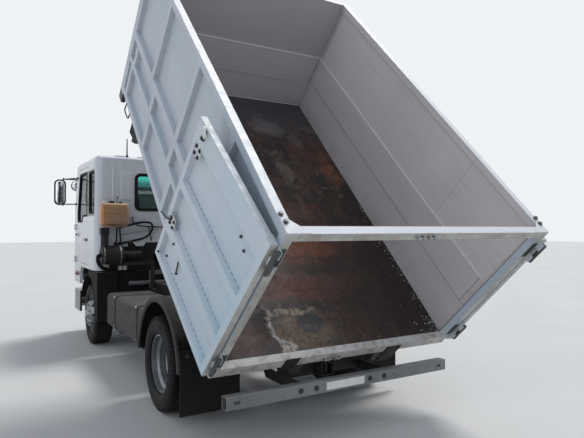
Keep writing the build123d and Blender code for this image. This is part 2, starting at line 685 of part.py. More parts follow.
def cab_envelope():
    """The cab's rounded outside: upright corners in plan, roof edges along the sides."""
    whole = slab(CAB_REAR_X, CAB_FRONT_X, -CAB_HALF_Y, CAB_HALF_Y, CAB_NOSE_Z - 50, CAB_ROOF_Z)
    upright = whole.edges().filter_by(Axis.Z).sort_by(Axis.X)
    plan = fillet(upright[:2], CAB_REAR_CORNER)
    plan = fillet(plan.edges().filter_by(Axis.Z).sort_by(Axis.X)[-2:], CAB_FRONT_CORNER)
    arch = fillet(whole.edges().filter_by(Axis.X).sort_by(Axis.Z)[-2:], CAB_ROOF_CORNER)
    return plan & arch


def cab_side():
    wall = side_plate(CAB_OUTLINE, CAB_IN_Y, CAB_HALF_Y) & CAB_ENVELOPE
    wall = wall - plate_from(grown(DOOR_OUTLINE, CLEAR), CAB_IN_Y - 5, CAB_HALF_Y + 5)
    wall = wall - side_plate(QUARTER_OUTLINE, CAB_IN_Y - 5, CAB_HALF_Y + 5)
    for z in DOOR_HINGE_HEIGHTS:
        for dz in (-32, 32):
            wall = wall + rod_z(DOOR_HINGE_X, DOOR_HINGE_Y, z + dz - 12, z + dz + 12, DOOR_HINGE_R)
            wall = wall + slab(DOOR_HINGE_X, DOOR_HINGE_X + 60, CAB_HALF_Y - 2, CAB_HALF_Y + 10,
                               z + dz - 12, z + dz + 12)
        wall = wall + rod_z(DOOR_HINGE_X, DOOR_HINGE_Y, z - 30, z + 30, DOOR_PIN_R)
    return wall


CAB_ENVELOPE = cab_envelope()


def cab_door():
    door = plate_from(outline_face(DOOR_OUTLINE), CAB_IN_Y, CAB_HALF_Y)
    door = door - plate_from(outline_face(WINDOW_OUTLINE), CAB_IN_Y - 5, CAB_HALF_Y + 5)
    for z in DOOR_HINGE_HEIGHTS:
        ring = rod_z(DOOR_HINGE_X, DOOR_HINGE_Y, z - 18, z + 18, DOOR_HINGE_R)
        strap = slab(DOOR_HINGE_X - 60, DOOR_HINGE_X, CAB_HALF_Y - 2, CAB_HALF_Y + 10, z - 18, z + 18)
        strap = strap - slab(DOOR_FRONT_X, DOOR_FRONT_X + 20, CAB_HALF_Y - 10, CAB_HALF_Y + SEAT, 0, 3000)
        door = door + ring + strap
        door = door - rod_z(DOOR_HINGE_X, DOOR_HINGE_Y, z - 40, z + 40, DOOR_PIN_R + PIN_GAP)
    handle = slab(DOOR_REAR_X + 60, DOOR_REAR_X + 240, CAB_HALF_Y - 2, CAB_HALF_Y + 18, 1440, 1480)
    return door + handle


def door_glass():
    return plate_from(grown(WINDOW_OUTLINE, -SEAT), GLASS_IN_Y, GLASS_IN_Y + GLASS_WALL)


FLOOR_STEP = 34.0
WELL_X = 3720.0
WELL_Z = 950.0
TUNNEL_WALL = 35.0
TUNNEL_FRONT_X = 3860.0
TILT_LUG_Y = (384.0, 414.0)
TILT_PIN_R = 14.0
TILT_EYE_R = 30.0


def cab_floor():
    """Flat floor and lower foot well, with the tunnel over the engine and the two tilt lugs."""
    reach = CAB_IN_Y - SEAT
    rear = CAB_REAR_X + CAB_SKIN + SEAT
    front = CAB_FRONT_X - CAB_SKIN - SEAT
    wide = TUNNEL_HALF + TUNNEL_WALL
    flat = slab(rear, WELL_X + 20, -reach, reach, CAB_FLOOR_Z, CAB_FLOOR_Z + FLOOR_STEP)
    hump = slab(rear, TUNNEL_FRONT_X, -wide, wide, CAB_FLOOR_Z, TUNNEL_TOP + TUNNEL_WALL)
    under = slab(CAB_REAR_X - 10, TUNNEL_FRONT_X - 30, -TUNNEL_HALF, TUNNEL_HALF, CAB_FLOOR_Z - 200,
                 TUNNEL_TOP)
    well = slab(WELL_X, front, -reach, reach, WELL_Z, WELL_Z + FLOOR_STEP)
    riser = slab(WELL_X, WELL_X + FLOOR_STEP, -reach, reach, WELL_Z, CAB_FLOOR_Z + FLOOR_STEP)
    whole = flat + well + riser + hump - under
    for side in (1, -1):
        y0, y1 = side * TILT_LUG_Y[0], side * TILT_LUG_Y[1]
        lug = slab(CAB_TILT_X - TILT_EYE_R, CAB_TILT_X + TILT_EYE_R, y0, y1, CAB_TILT_Z, WELL_Z + 10)
        eye = rod_y(CAB_TILT_X, CAB_TILT_Z, y0, y1, TILT_EYE_R)
        whole = whole + lug + eye
    return whole - rod_y(CAB_TILT_X, CAB_TILT_Z, -500, 500, TILT_PIN_R + PIN_GAP)


STAND_X = 2700.0
STAND_TOP = CAB_FLOOR_Z - 14
STAND_TUBE_Z = 878.0
STAND_TUBE_HALF = 700.0
STAND_TUBE_R = 28.0


def cab_pivots():
    found = []
    for side in (1, -1):
        plates = [slab(CAB_TILT_X - 60, CAB_TILT_X + 30, side * y0, side * (y0 + 12), RAIL_TOP + SEAT,
                       CAB_TILT_Z + 28) for y0 in (TILT_LUG_Y[0] - 18, TILT_LUG_Y[1] + 6)]
        base = slab(CAB_TILT_X - 60, CAB_TILT_X - 22, side * 350, side * 432, RAIL_TOP + SEAT, RAIL_TOP + 14)
        pin = rod_y(CAB_TILT_X, CAB_TILT_Z, side * 366, side * 432, TILT_PIN_R)
        found.append(fuse(plates + [base, pin]))
    posts = [slab(STAND_X - 30, STAND_X + 30, side * 352, side * 412, RAIL_TOP + SEAT, STAND_TOP)
             for side in (1, -1)]
    bridge = slab(STAND_X - 25, STAND_X + 25, -400, 400, STAND_TOP - 60, STAND_TOP)
    tube = rod_y(STAND_X - 50, STAND_TUBE_Z, -STAND_TUBE_HALF, STAND_TUBE_HALF, STAND_TUBE_R)
    found.append(fuse(posts + [bridge, tube]))
    return found


REAR_GLASS_Y = (-595.0, 595.0)
REAR_GLASS_Z = (1880.0, 2370.0)
REAR_GLASS_CORNER = 70.0


def cab_back_wall():
    reach = CAB_IN_Y - SEAT
    wall = slab(CAB_REAR_X, CAB_REAR_X + CAB_SKIN, -reach, reach, CAB_FLOOR_Z, CAB_ROOF_Z - 42)
    window = slab(CAB_REAR_X - 5, CAB_REAR_X + CAB_SKIN + 5, *REAR_GLASS_Y, *REAR_GLASS_Z)
    window = fillet(window.edges().filter_by(Axis.X), REAR_GLASS_CORNER)
    wall = (wall & CAB_ENVELOPE) - window
    tunnel = slab(CAB_REAR_X - 5, CAB_REAR_X + CAB_SKIN + 5, -TUNNEL_HALF, TUNNEL_HALF, 900, TUNNEL_TOP)
    wall = wall - tunnel
    for side in (1, -1):
        for y0, y1, z0, z1 in ((640, 800, 2010, 2400), (880, 915, 1990, 2430)):
            rib = slab(CAB_REAR_X - CAB_RIB, CAB_REAR_X + 4, side * y0, side * y1, z0, z1)
            rib = chamfer(rib.faces().sort_by(Axis.X)[0].edges(), 8)
            wall = wall + rib
    return wall


ROOF_RIBS = 6
ROOF_RIB_PITCH = 320.0


def cab_roof():
    reach = CAB_IN_Y - SEAT
    plate = side_plate([(CAB_REAR_X + 4, CAB_ROOF_Z - 42 + SEAT), (CAB_REAR_X + 60, CAB_ROOF_Z - 10),
                        (CAB_REAR_X + 120, CAB_ROOF_Z), (3940, CAB_ROOF_Z), (4040, CAB_ROOF_Z - 50),
                        (4010, CAB_ROOF_Z - 70), (3930, CAB_ROOF_Z - 34), (CAB_REAR_X + 130, CAB_ROOF_Z - 34),
                        (CAB_REAR_X + CAB_SKIN, CAB_ROOF_Z - 42 + SEAT)], -reach, reach)
    plate = plate & CAB_ENVELOPE
    for i in range(ROOF_RIBS):
        y = ROOF_RIB_PITCH * (i - (ROOF_RIBS - 1) / 2)
        rib = slab(CAB_REAR_X + 66, 3860, y - 70, y + 70, CAB_ROOF_Z - 14, CAB_ROOF_Z + CAB_RIB)
        rib = chamfer(rib.faces().sort_by(Axis.Z)[-1].edges(), CAB_RIB - 1)
        plate = plate + rib
    return plate


GRILLE_Z = (960.0, 1210.0)
GRILLE_HALF = 620.0
GRILLE_BARS = 4


def cab_front_panel():
    reach = CAB_IN_Y - SEAT
    panel = side_plate([(CAB_FRONT_X - 50, CAB_BELT_Z), (CAB_FRONT_X, CAB_BELT_Z - 90),
                        (CAB_FRONT_X, CAB_NOSE_Z), (CAB_FRONT_X - CAB_SKIN, CAB_NOSE_Z),
                        (CAB_FRONT_X - CAB_SKIN, CAB_BELT_Z - 100), (CAB_FRONT_X - 82, CAB_BELT_Z)],
                       -reach, reach)
    panel = panel & CAB_ENVELOPE
    low, high = GRILLE_Z
    grille = slab(CAB_FRONT_X - 12, CAB_FRONT_X + 5, -GRILLE_HALF, GRILLE_HALF, low, high)
    panel = panel - fillet(grille.edges().filter_by(Axis.X), 30)
    pitch = (high - low) / (GRILLE_BARS + 1)
    for i in range(GRILLE_BARS):
        z = low + pitch * (i + 1)
        panel = panel + slab(CAB_FRONT_X - 13, CAB_FRONT_X - 2, -GRILLE_HALF - 5, GRILLE_HALF + 5,
                             z - 9, z + 9)
    return panel


def cab_glass():
    reach = CAB_IN_Y - SEAT
    screen = side_plate([(CAB_FRONT_X - 52, CAB_BELT_Z + SEAT), (CAB_FRONT_X - 60, CAB_BELT_Z + SEAT),
                         (4028, CAB_ROOF_Z - 60), (4036, CAB_ROOF_Z - 54)], -reach, reach)
    rear = slab(CAB_REAR_X + 12, CAB_REAR_X + 12 + GLASS_WALL, REAR_GLASS_Y[0] + SEAT,
                REAR_GLASS_Y[1] - SEAT, REAR_GLASS_Z[0] + SEAT, REAR_GLASS_Z[1] - SEAT)
    rear = fillet(rear.edges().filter_by(Axis.X), REAR_GLASS_CORNER)
    found = [screen & CAB_ENVELOPE, rear]
    for quarter in both(side_plate(QUARTER_OUTLINE, GLASS_IN_Y, GLASS_IN_Y + GLASS_WALL)):
        found.append(quarter)
    return found


SEAT_Y = 625.0
SEAT_HALF = 240.0
CUSHION_X = (2990.0, 3480.0)
CUSHION_TOP = 1480.0
BACKREST = [(2850, CUSHION_TOP - 40), (3000, CUSHION_TOP - 40), (2960, 2060), (2850, 2060)]


def seats():
    found = []
    for y in (-SEAT_Y, SEAT_Y):
        base = slab(*CUSHION_X, y - SEAT_HALF, y + SEAT_HALF, CAB_FLOOR_Z + FLOOR_STEP + SEAT, CUSHION_TOP)
        back = side_plate(BACKREST, y - SEAT_HALF + 10, y + SEAT_HALF - 10)
        found.append(base + back)
    return found


COLUMN_AT = (4025.0, -SEAT_Y, 1440.0)
COLUMN_LEAN = -28.0
COLUMN_LENGTH = 520.0
COLUMN_R = 32.0
STEERING_R = 225.0
STEERING_GRIP_R = 15.0
STEERING_HUB_R = 55.0
STEERING_HUB_DEPTH = 40.0
SPOKE_HALF = 18.0


def dashboard():
    reach = CAB_IN_Y - SEAT
    front = CAB_FRONT_X - CAB_SKIN - SEAT
    top = side_plate([(4010, 1660), (4010, 1500), (4110, 1350), (front, 1350), (front, 1680), (4180, 1720)],
                     -reach, reach)
    column = Pos(*COLUMN_AT) * Rot(0, COLUMN_LEAN, 0) * Cylinder(COLUMN_R, COLUMN_LENGTH)
    return top + column


def steering_wheel():
    ring = Torus(STEERING_R, STEERING_GRIP_R)
    spoke = slab(0, STEERING_R, -SPOKE_HALF, SPOKE_HALF, -6, 6)
    spokes = fuse([Rot(0, 0, a) * spoke for a in (90, 210, 330)])
    hub = Cylinder(STEERING_HUB_R, STEERING_HUB_DEPTH)
    above = (COLUMN_LENGTH + STEERING_HUB_DEPTH) / 2 + SEAT
    place = Pos(*COLUMN_AT) * Rot(0, COLUMN_LEAN, 0) * Pos(0, 0, above)
    return place * (ring + spokes + hub)


def strut(start, end, r):
    """A round bar between two points."""
    line = Vector(*end) - Vector(*start)
    plane = Plane(origin=start, z_dir=line)
    return extrude(plane * Circle(r), amount=line.length)


MIRROR_POLE = (4300.0, 1300.0)
MIRROR_LOW = 1985.0
MIRROR_TOP = 2385.0
MIRROR_IN_Y = 1262.0
MIRROR_OUT_Y = 1432.0
MIRROR_DEPTH = 55.0
MIRROR_CORNER = 70.0
CORNER_MIRROR = (4410.0, 1085.0, 2300.0)
CORNER_MIRROR_R = 85.0
CORNER_MIRROR_DEPTH = 42.0


def mirrors():
    """The tall mirror on its two arms, and a round one carried forward of the cab's corner."""
    pole_x, pole_y = MIRROR_POLE
    upper = MIRROR_TOP + 5
    parts = [rod_z(pole_x, pole_y, MIRROR_LOW - 10, MIRROR_TOP + 25, 10)]
    for z, foot_x in ((MIRROR_LOW + 13, 4150.0), (upper, 4020.0)):
        parts.append(strut((foot_x, CAB_HALF_Y + 8, z), (pole_x, pole_y, z), 9))
        parts.append(slab(foot_x - 26, foot_x + 26, CAB_HALF_Y + SEAT, CAB_HALF_Y + 8, z - 20, z + 20))
    head = slab(pole_x - 25, pole_x - 25 + MIRROR_DEPTH, MIRROR_IN_Y, MIRROR_OUT_Y, MIRROR_LOW, MIRROR_TOP)
    head = fillet(head.edges().filter_by(Axis.X), MIRROR_CORNER)
    parts.append(fillet(head.faces().sort_by(Axis.X)[-1].edges(), 30))
    x, y, z = CORNER_MIRROR
    parts.append(strut((pole_x, pole_y, upper), (x + 12, y, upper + 12), 8))
    parts.append(rod_z(x + 12, y, z + 40, upper + 20, 8))
    cup = rod_x(y, z, x - 15, x - 15 + CORNER_MIRROR_DEPTH, CORNER_MIRROR_R)
    parts.append(fillet(cup.edges().sort_by(Axis.X)[-1:], 34))
    return both(parts[0] + fuse(parts[1:]))


COOLANT_X = (2490.0, 2690.0)
COOLANT_Y = (742.0, 1102.0)
COOLANT_Z = (1660.0, 1956.0)


def coolant_tank():
    low = COOLANT_Z[0]
    tank = slab(*COOLANT_X, *COOLANT_Y, *COOLANT_Z)
    tank = fillet(tank.edges(), 36)
    tray = slab(COOLANT_X[0] - 10, CAB_REAR_X - SEAT, COOLANT_Y[0] + 18, COOLANT_Y[1] - 82,
                low - 20, low - SEAT)
    return [tank, tray]


CLEANER_X = 2600.0
CLEANER_Z = 1270.0
CLEANER_Y = (800.0, 1080.0)
CLEANER_R = 125.0
CLEANER_DUCT_Y = 1035.0
CLEANER_DUCT_R = 50.0


def air_cleaner():
    """Drum on a stand from the left rail, with its intake standing up and its outlet leading inward."""
    x, z = CLEANER_X, CLEANER_Z
    drum = rod_y(x, z, *CLEANER_Y, CLEANER_R)
    drum = fillet(drum.edges(), 26)
    band = rod_y(x, z, CLEANER_Y[0] + 100, CLEANER_Y[0] + 125, CLEANER_R + 4)
    stand = slab(x - 55, x + 5, 380, 420, RAIL_TOP + SEAT, z - 110)
    arm = slab(x - 50, x, 380, CLEANER_Y[0] + 60, z - 140, z - 95)
    duct = rod_z(x, CLEANER_DUCT_Y, z + 100, z + 290, CLEANER_DUCT_R)
    reach = CLEANER_DUCT_R + 5
    mouth = slab(x - reach, x + reach, CLEANER_DUCT_Y - reach + 5, CLEANER_DUCT_Y + reach + 5,
                 z + 275, z + 362)
    mouth = fillet(mouth.edges().filter_by(Axis.Z), 20)
    outlet = rod_y(x, z, CLEANER_Y[0] - 240, CLEANER_Y[0] + 10, CLEANER_DUCT_R + 2)
    return fuse([drum, band, stand, arm, duct, mouth, outlet])


# Bed

BED_HALF = BED_WIDTH / 2
SKIN_OUT = BED_HALF - FRAME_DEPTH
SKIN_IN = SKIN_OUT - SKIN
BED_PLACE = Pos(BED_REAR_X, 0, BED_REAR_Z) * Rot(0, -BED_TILT, 0)

# Bands of the side: lower and upper edge of the bay, then the rear face of each post
BANDS = ((70.0, 390.0, (2450.0, 3350.0, 1600.0, 750.0)),
         (450.0, 640.0, (870.0, 1750.0, 2500.0, 3295.0)),
         (720.0, BED_HEIGHT - TOP_RAIL, (870.0, 1740.0, 2660.0)))
FRONT_POST = (3500.0, 3620.0)


def bed_side():
    """Left side with its frame proud of the sheet, rear post and hinge brackets."""
    skin = slab(POST_WIDTH, BED_LENGTH - 44, SKIN_IN, SKIN_OUT, 0, BED_HEIGHT - 20)
    parts = [skin]
    parts.append(slab(0, BED_LENGTH, BED_HALF - TOP_RAIL, BED_HALF, BED_HEIGHT - TOP_RAIL, BED_HEIGHT))
    parts.append(slab(0, POST_WIDTH, BED_HALF - TOP_RAIL, BED_HALF, 0, BED_HEIGHT))
    edges = [0.0]
    for low, high, posts in BANDS:
        parts.append(slab(POST_WIDTH - 5, FRONT_POST[1], SKIN_OUT - 1, BED_HALF, edges[-1], low))
        edges.append(high)
        for s in posts:
            parts.append(slab(s, s + 80, SKIN_OUT - 1, BED_HALF, low - 2, high + 2))
    parts.append(slab(*FRONT_POST, SKIN_OUT - 1, BED_HALF, -130, BED_HEIGHT - 10))
    liner = slab(130, BED_LENGTH - 60, SKIN_IN - 8, SKIN_IN + 1, 470, 790)
    liner = chamfer(liner.edges().filter_by(Axis.X).sort_by(Axis.Z)[:1], 7)
    parts.append(liner)
    side = fuse(parts)
    axis_y = BED_HALF + HINGE_OUT
    for h in HINGE_HEIGHTS:
        for dh in (-63, 63):
            side = side + rod_z(-HINGE_BACK, axis_y, h + dh - 30, h + dh + 30, HINGE_R)
            side = side + slab(-HINGE_BACK, 100, BED_HALF - 1, BED_HALF + 8, h + dh - 30, h + dh + 30)
            side = side + slab(-HINGE_BACK - 8, -HINGE_BACK + 8, BED_HALF, axis_y, h + dh - 30, h + dh + 30)
        side = side + rod_z(-HINGE_BACK, axis_y, h - 60, h + 60, HINGE_PIN_R)
    return side


def bed_front_wall():
    reach = SKIN_IN - SEAT
    under = BED_HEIGHT - TOP_RAIL - SEAT
    inside = BED_HALF - TOP_RAIL - SEAT
    sheet = slab(BED_LENGTH - 44, BED_LENGTH - 40, -reach, reach, FLOOR_TOP_H + SEAT, under)
    top = slab(BED_LENGTH - 44, BED_LENGTH, -inside, inside, under - 1, BED_HEIGHT)
    low = slab(BED_LENGTH - 41, BED_LENGTH, -reach, reach, FLOOR_TOP_H + SEAT, FLOOR_TOP_H + 80)
    mid = slab(BED_LENGTH - 41, BED_LENGTH, -reach, reach, 640, 720)
    last = BED_HALF - 92
    posts = [slab(BED_LENGTH - 41, BED_LENGTH, share * last - 40, share * last + 40, 100, under)
             for share in (-1.0, -0.5, 0.0, 0.5, 1.0)]
    liner = slab(BED_LENGTH - 52, BED_LENGTH - 43, -reach + 10, reach - 10, 420, 790)
    return fuse([sheet, top, low, mid, liner] + posts)


def bed_floor():
    reach = SKIN_IN - SEAT
    plate = slab(POST_WIDTH + SEAT, BED_LENGTH - 45, -reach, reach, FLOOR_TOP_H - FLOOR_PLATE, FLOOR_TOP_H)
    sill = slab(0, POST_WIDTH + 1, -(BED_HALF - TOP_RAIL - SEAT), BED_HALF - TOP_RAIL - SEAT, 0, SILL_HEIGHT)
    parts = [plate, sill]
    for i in range(8):
        s = 420 + i * 440
        parts.append(slab(s, s + 50, -reach, reach, 8, FLOOR_TOP_H - 1))
    for side in (1, -1):
        parts.append(slab(0, 3480, side * RUNNER_IN_Y, side * RUNNER_OUT_Y, -RUNNER_DEPTH, FLOOR_TOP_H - 2))
        y0 = side * (RUNNER_OUT_Y + 34)
        y1 = side * (RUNNER_OUT_Y + 66)
        parts.append(slab(PIVOT_S - 90, PIVOT_S + 90, y0, y1, 0, FLOOR_TOP_H - 2))
        parts.append(Pos(PIVOT_S, (y0 + y1) / 2, 0) * Rot(90, 0, 0)
                     * extrude(make_face(Polyline((-90, 1), (90, 1), (50, PIVOT_H), (-50, PIVOT_H),
                                                  close=True)), amount=16, both=True))
        parts.append(rod_y(PIVOT_S, PIVOT_H, y0, y1, PIVOT_EYE_R))
    floor = fuse(parts)
    return floor - rod_y(PIVOT_S, PIVOT_H, -700, 700, PIVOT_PIN_R + PIN_GAP)


GUSSET = 160.0


def bed_crossbar():
    reach = BED_HALF - TOP_RAIL - SEAT
    bar = slab(0, 60, -reach, reach, BED_HEIGHT - 60, BED_HEIGHT)
    gussets = []
    for side in (1, -1):
        tri = make_face(Polyline((0, side * BED_HALF), (GUSSET, side * BED_HALF),
                                 (0, side * (BED_HALF - GUSSET)), close=True))
        gussets.append(Pos(0, 0, BED_HEIGHT + SEAT) * extrude(tri, amount=6, dir=(0, 0, 1)))
    parts = [bar, slab(0, 55, -reach, reach, BED_HEIGHT - 5, BED_HEIGHT + SEAT + 1)] + gussets
    return fuse(parts)


def tail_leaf():
    """Left leaf shut: the sheet is on the outside, the tubes inside, knuckles on the hinge edge."""
    y_out = BED_HALF - 5
    y_in = 4.0
    s0 = -HINGE_BACK - 12
    s1 = s0 + LEAF_THICK
    sheet = slab(s0, s0 + 4, y_in, y_out, LEAF_BOTTOM_H, LEAF_TOP_H)
    parts = [sheet]
    for h0, h1 in ((LEAF_BOTTOM_H, LEAF_BOTTOM_H + 60), (364, 464), (802, 872), (1223, LEAF_TOP_H)):
        parts.append(slab(s0 + 3, s1, y_in, y_out, h0, h1))
    for y0, y1 in ((y_in, y_in + 50), (y_out - 60, y_out)):
        parts.append(slab(s0 + 3, s1, y0, y1, LEAF_BOTTOM_H, LEAF_TOP_H))
    leaf = fuse(parts)
    axis_y = BED_HALF + HINGE_OUT
    for h in HINGE_HEIGHTS:
        ring = rod_z(-HINGE_BACK, axis_y, h - 31, h + 31, HINGE_R)
        tab = slab(-HINGE_BACK - 8, -HINGE_BACK + 8, y_out - 2, axis_y, h - 31, h + 31)
        leaf = leaf + ring + tab
        leaf = leaf - rod_z(-HINGE_BACK, axis_y, h - 50, h + 50, HINGE_PIN_R + PIN_GAP)
    return leaf


def swung_leaf():
    """The left leaf folded back along the side, still in the bed's frame."""
    axis = Pos(-HINGE_BACK, BED_HALF + HINGE_OUT, 0)
    return axis * Rot(0, 0, -LEAF_OPEN) * axis.inverse() * tail_leaf()


# Hoist

EYE_S = PIVOT_S + 1050.0
EYE_H = PIVOT_H + 90.0
BARREL_R = 85.0
STAGE_R = (70.0, 56.0, 43.0)
STAGE_STEP = (8.0, 16.0, -5.0)
BARREL_LOW = -120.0
BARREL_TOP = 225.0
EYE_R = 42.0
EYE_PIN_R = 14.0
EYE_HALF = 30.0
EYE_DRIFT = 26.0


def eye_now(tilt):
    """The bed's lift point for a tilt, from the tipping pivot."""
    t = radians(tilt)
    ds, dh = EYE_S - PIVOT_S, EYE_H - PIVOT_H
    return (PIVOT[0] + ds * cos(t) - dh * sin(t), PIVOT[1] + ds * sin(t) + dh * cos(t))


def hoist_pose(tilt):
    x, z = eye_now(tilt)
    return hypot(x - HOIST_X, z - HOIST_Z), degrees(atan2(z - HOIST_Z, x - HOIST_X))


HOIST_OUT, HOIST_ANGLE = hoist_pose(BED_TILT)
HOIST_IN, HOIST_ANGLE_DOWN = hoist_pose(0.0)
STAGE_TRAVEL = (HOIST_OUT - HOIST_IN) / 3
HOIST_PLACE = Pos(HOIST_X, 0, HOIST_Z) * Rot(0, 90 - HOIST_ANGLE, 0)


def hoist_barrel():
    body = rod_z(0, 0, BARREL_LOW, BARREL_TOP, BARREL_R)
    body = body - rod_z(0, 0, BARREL_LOW + 15, BARREL_TOP + 5, STAGE_R[0] + PIN_GAP)
    for side in (1, -1):
        body = body + rod_y(0, 0, side * (STAGE_R[0] + 6), side * 150, TRUNNION_R)
    return HOIST_PLACE * body


def hoist_stage(i):
    low = BARREL_LOW + 18 + STAGE_TRAVEL * (i + 1)
    top = BARREL_TOP + STAGE_STEP[i] + STAGE_TRAVEL * (i + 1)
    body = rod_z(0, 0, low, top, STAGE_R[i])
    if i < 2:
        body = body - rod_z(0, 0, low - 5, top + 5, STAGE_R[i + 1] + PIN_GAP)
    else:
        body = body + rod_z(0, 0, top - 5, HOIST_OUT, 26)
        body = body + rod_y(0, HOIST_OUT, -EYE_HALF, EYE_HALF, EYE_R)
        body = body + rod_y(0, HOIST_OUT, -EYE_HALF - 40, EYE_HALF + 40, EYE_PIN_R)
    return HOIST_PLACE * body


def lift_ears():
    """Slotted ears under the bed floor that hold the hoist's upper pin."""
    found = []
    for side in (1, -1):
        y0, y1 = side * (EYE_HALF + CLEAR), side * (EYE_HALF + CLEAR + 22)
        plate = slab(EYE_S - 110, EYE_S + 110, y0, y1, EYE_H - 55, FLOOR_TOP_H - 2)
        slot = rod_y(EYE_S, EYE_H, y0 - side * 5, y1 + side * 5, EYE_PIN_R + EYE_DRIFT)
        found.append(plate - slot)
    return found


NODES = {}


def add(name, shapes):
    NODES[name] = Compound(children=solids_of(shapes))


def build_all():
    for side, flip in (("left", lambda s: s), ("right", mirrored)):
        add("front_rim_" + side, flip(front_rim()))
        add("front_tyre_" + side, flip(tyre(FRONT_WHEEL_Y, WHEELBASE)))
        add("rear_rims_" + side, flip(rear_rims()))
        add("rear_tyres_" + side, [flip(t) for t in rear_tyres()])
        add("knuckle_" + side, flip(knuckle()))
        add("cab_door_" + side, flip(cab_door()))
        add("door_glass_" + side, flip(door_glass()))
        add("bed_side_" + side, flip(BED_PLACE * bed_side()))
        add("tail_door_" + side, flip(BED_PLACE * swung_leaf()))
    add("chassis_rails", chassis_rails())
    add("chassis_crossmembers", chassis_crossmembers())
    add("bed_subframe", bed_subframe())
    add("cab_pivots", cab_pivots())
    add("engine_block", engine_block())
    add("front_axle_beam", front_axle_beam())
    add("rear_axle_housing", rear_axle_housing())
    add("leaf_springs", leaf_springs())
    add("propeller_shaft", propeller_shaft())
    add("fuel_tank", fuel_tank())
    add("tank_straps", tank_straps())
    add("battery_box", battery_box())
    add("air_tanks", air_tanks())
    add("exhaust_muffler", exhaust_muffler())
    add("rear_mudguards", rear_mudguards())
    add("front_mudguards", front_mudguards())
    add("front_bumper", front_bumper())
    add("underrun_bar", underrun_bar())
    add("air_cleaner", air_cleaner())
    add("hoist_barrel", hoist_barrel())
    add("hoist_stage_1", hoist_stage(0))
    add("hoist_stage_2", hoist_stage(1))
    add("hoist_rod", hoist_stage(2))
    add("cab_floor", cab_floor())
    add("cab_back_wall", cab_back_wall())
    add("cab_side_frames", both(cab_side()))
    add("cab_roof", cab_roof())
    add("cab_front_panel", cab_front_panel())
    add("cab_glass", cab_glass())
    add("seats", seats())
    add("dashboard", dashboard())
    add("steering_wheel", steering_wheel())
    add("mirrors", mirrors())
    add("coolant_tank", coolant_tank())
    floor = fuse([bed_floor()] + lift_ears())
    add("bed_floor", BED_PLACE * floor)
    add("bed_front_wall", BED_PLACE * bed_front_wall())
    add("bed_crossbar", BED_PLACE * bed_crossbar())


build_all()

# The stored frame has its origin under the middle of the whole truck's box
LOW = [min(getattr(s.bounding_box().min, a) for s in NODES.values()) for a in "XYZ"]
HIGH = [max(getattr(s.bounding_box().max, a) for s in NODES.values()) for a in "XYZ"]
ORIGIN = ((LOW[0] + HIGH[0]) / 2, (LOW[1] + HIGH[1]) / 2, LOW[2])

os.makedirs("parts", exist_ok=True)
for name, shape in NODES.items():
    moved = Pos(-ORIGIN[0], -ORIGIN[1], -ORIGIN[2]) * shape
    export_step(moved, "parts/" + name + ".step")
print("nodes", len(NODES))
print("origin", [round(v, 3) for v in ORIGIN])
print("size", [round(h - l, 1) for l, h in zip(LOW, HIGH)])
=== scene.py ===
import json
import math
import random

import bmesh
import bpy
from mathutils import Matrix, Vector


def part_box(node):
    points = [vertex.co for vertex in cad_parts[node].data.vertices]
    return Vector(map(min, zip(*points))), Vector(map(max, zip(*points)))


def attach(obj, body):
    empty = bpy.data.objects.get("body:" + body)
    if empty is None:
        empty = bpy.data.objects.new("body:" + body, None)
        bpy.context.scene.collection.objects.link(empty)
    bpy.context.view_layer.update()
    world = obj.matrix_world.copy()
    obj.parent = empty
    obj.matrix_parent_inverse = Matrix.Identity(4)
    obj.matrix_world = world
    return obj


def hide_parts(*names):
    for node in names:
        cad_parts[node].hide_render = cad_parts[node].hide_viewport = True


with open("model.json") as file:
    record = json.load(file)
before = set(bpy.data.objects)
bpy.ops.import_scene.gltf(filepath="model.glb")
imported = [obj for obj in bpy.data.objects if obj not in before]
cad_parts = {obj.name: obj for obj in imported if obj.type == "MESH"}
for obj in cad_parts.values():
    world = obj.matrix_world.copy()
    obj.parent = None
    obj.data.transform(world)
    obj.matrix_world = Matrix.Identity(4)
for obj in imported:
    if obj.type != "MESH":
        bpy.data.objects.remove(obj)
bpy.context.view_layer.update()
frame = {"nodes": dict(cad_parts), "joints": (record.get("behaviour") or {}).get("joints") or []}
print("frame loaded:", len(frame["nodes"]), "nodes")

# Reference places, all taken from the frame. X is forward, Y left, Z up, in metres.
tyreLow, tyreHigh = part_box("rear_tyres_left")
rearAxleX = (tyreLow.x + tyreHigh.x) / 2
wheelR = (tyreHigh.z - tyreLow.z) / 2
flipY = Matrix.Diagonal((1, -1, 1, 1))
groundPlace = Matrix.Translation((rearAxleX, 0, 0))  # the ground under the rear axle
bothGround = (groundPlace, groundPlace @ flipY)
sides = ((1, "left", "Left"), (-1, "right", "Right"))


def jointNamed(name):
    return next(j for j in frame["joints"] if j["name"] == name)


def spot(x, y, z):
    # a point measured from the ground under the rear axle
    return Vector((rearAxleX + x, y, z))


def onSide(place, sign):
    return place if sign > 0 else flipY @ place


# The raised bed's own directions: s forward along the floor, y left, h square to the floor
bedSize = {"length": 3.640, "width": 2.304, "height": 1.477, "floorTop": 0.085, "topRail": 0.060,
           "frameDepth": 0.044, "skin": 0.004}
upOfBed = Vector(jointNamed("tail_door_left_hinge")["axis"])
bedTilt = math.atan2(-upOfBed.x, upOfBed.z)
bedTurn = Matrix.Rotation(-bedTilt, 4, "Y")
wallPoints = [bedTurn.inverted() @ v.co for v in frame["nodes"]["bed_front_wall"].data.vertices]
bedCorner = bedTurn @ Vector((max(p.x for p in wallPoints) - bedSize["length"], 0,
                              max(p.z for p in wallPoints) - bedSize["height"]))
bedPlace = Matrix.Translation(bedCorner) @ bedTurn

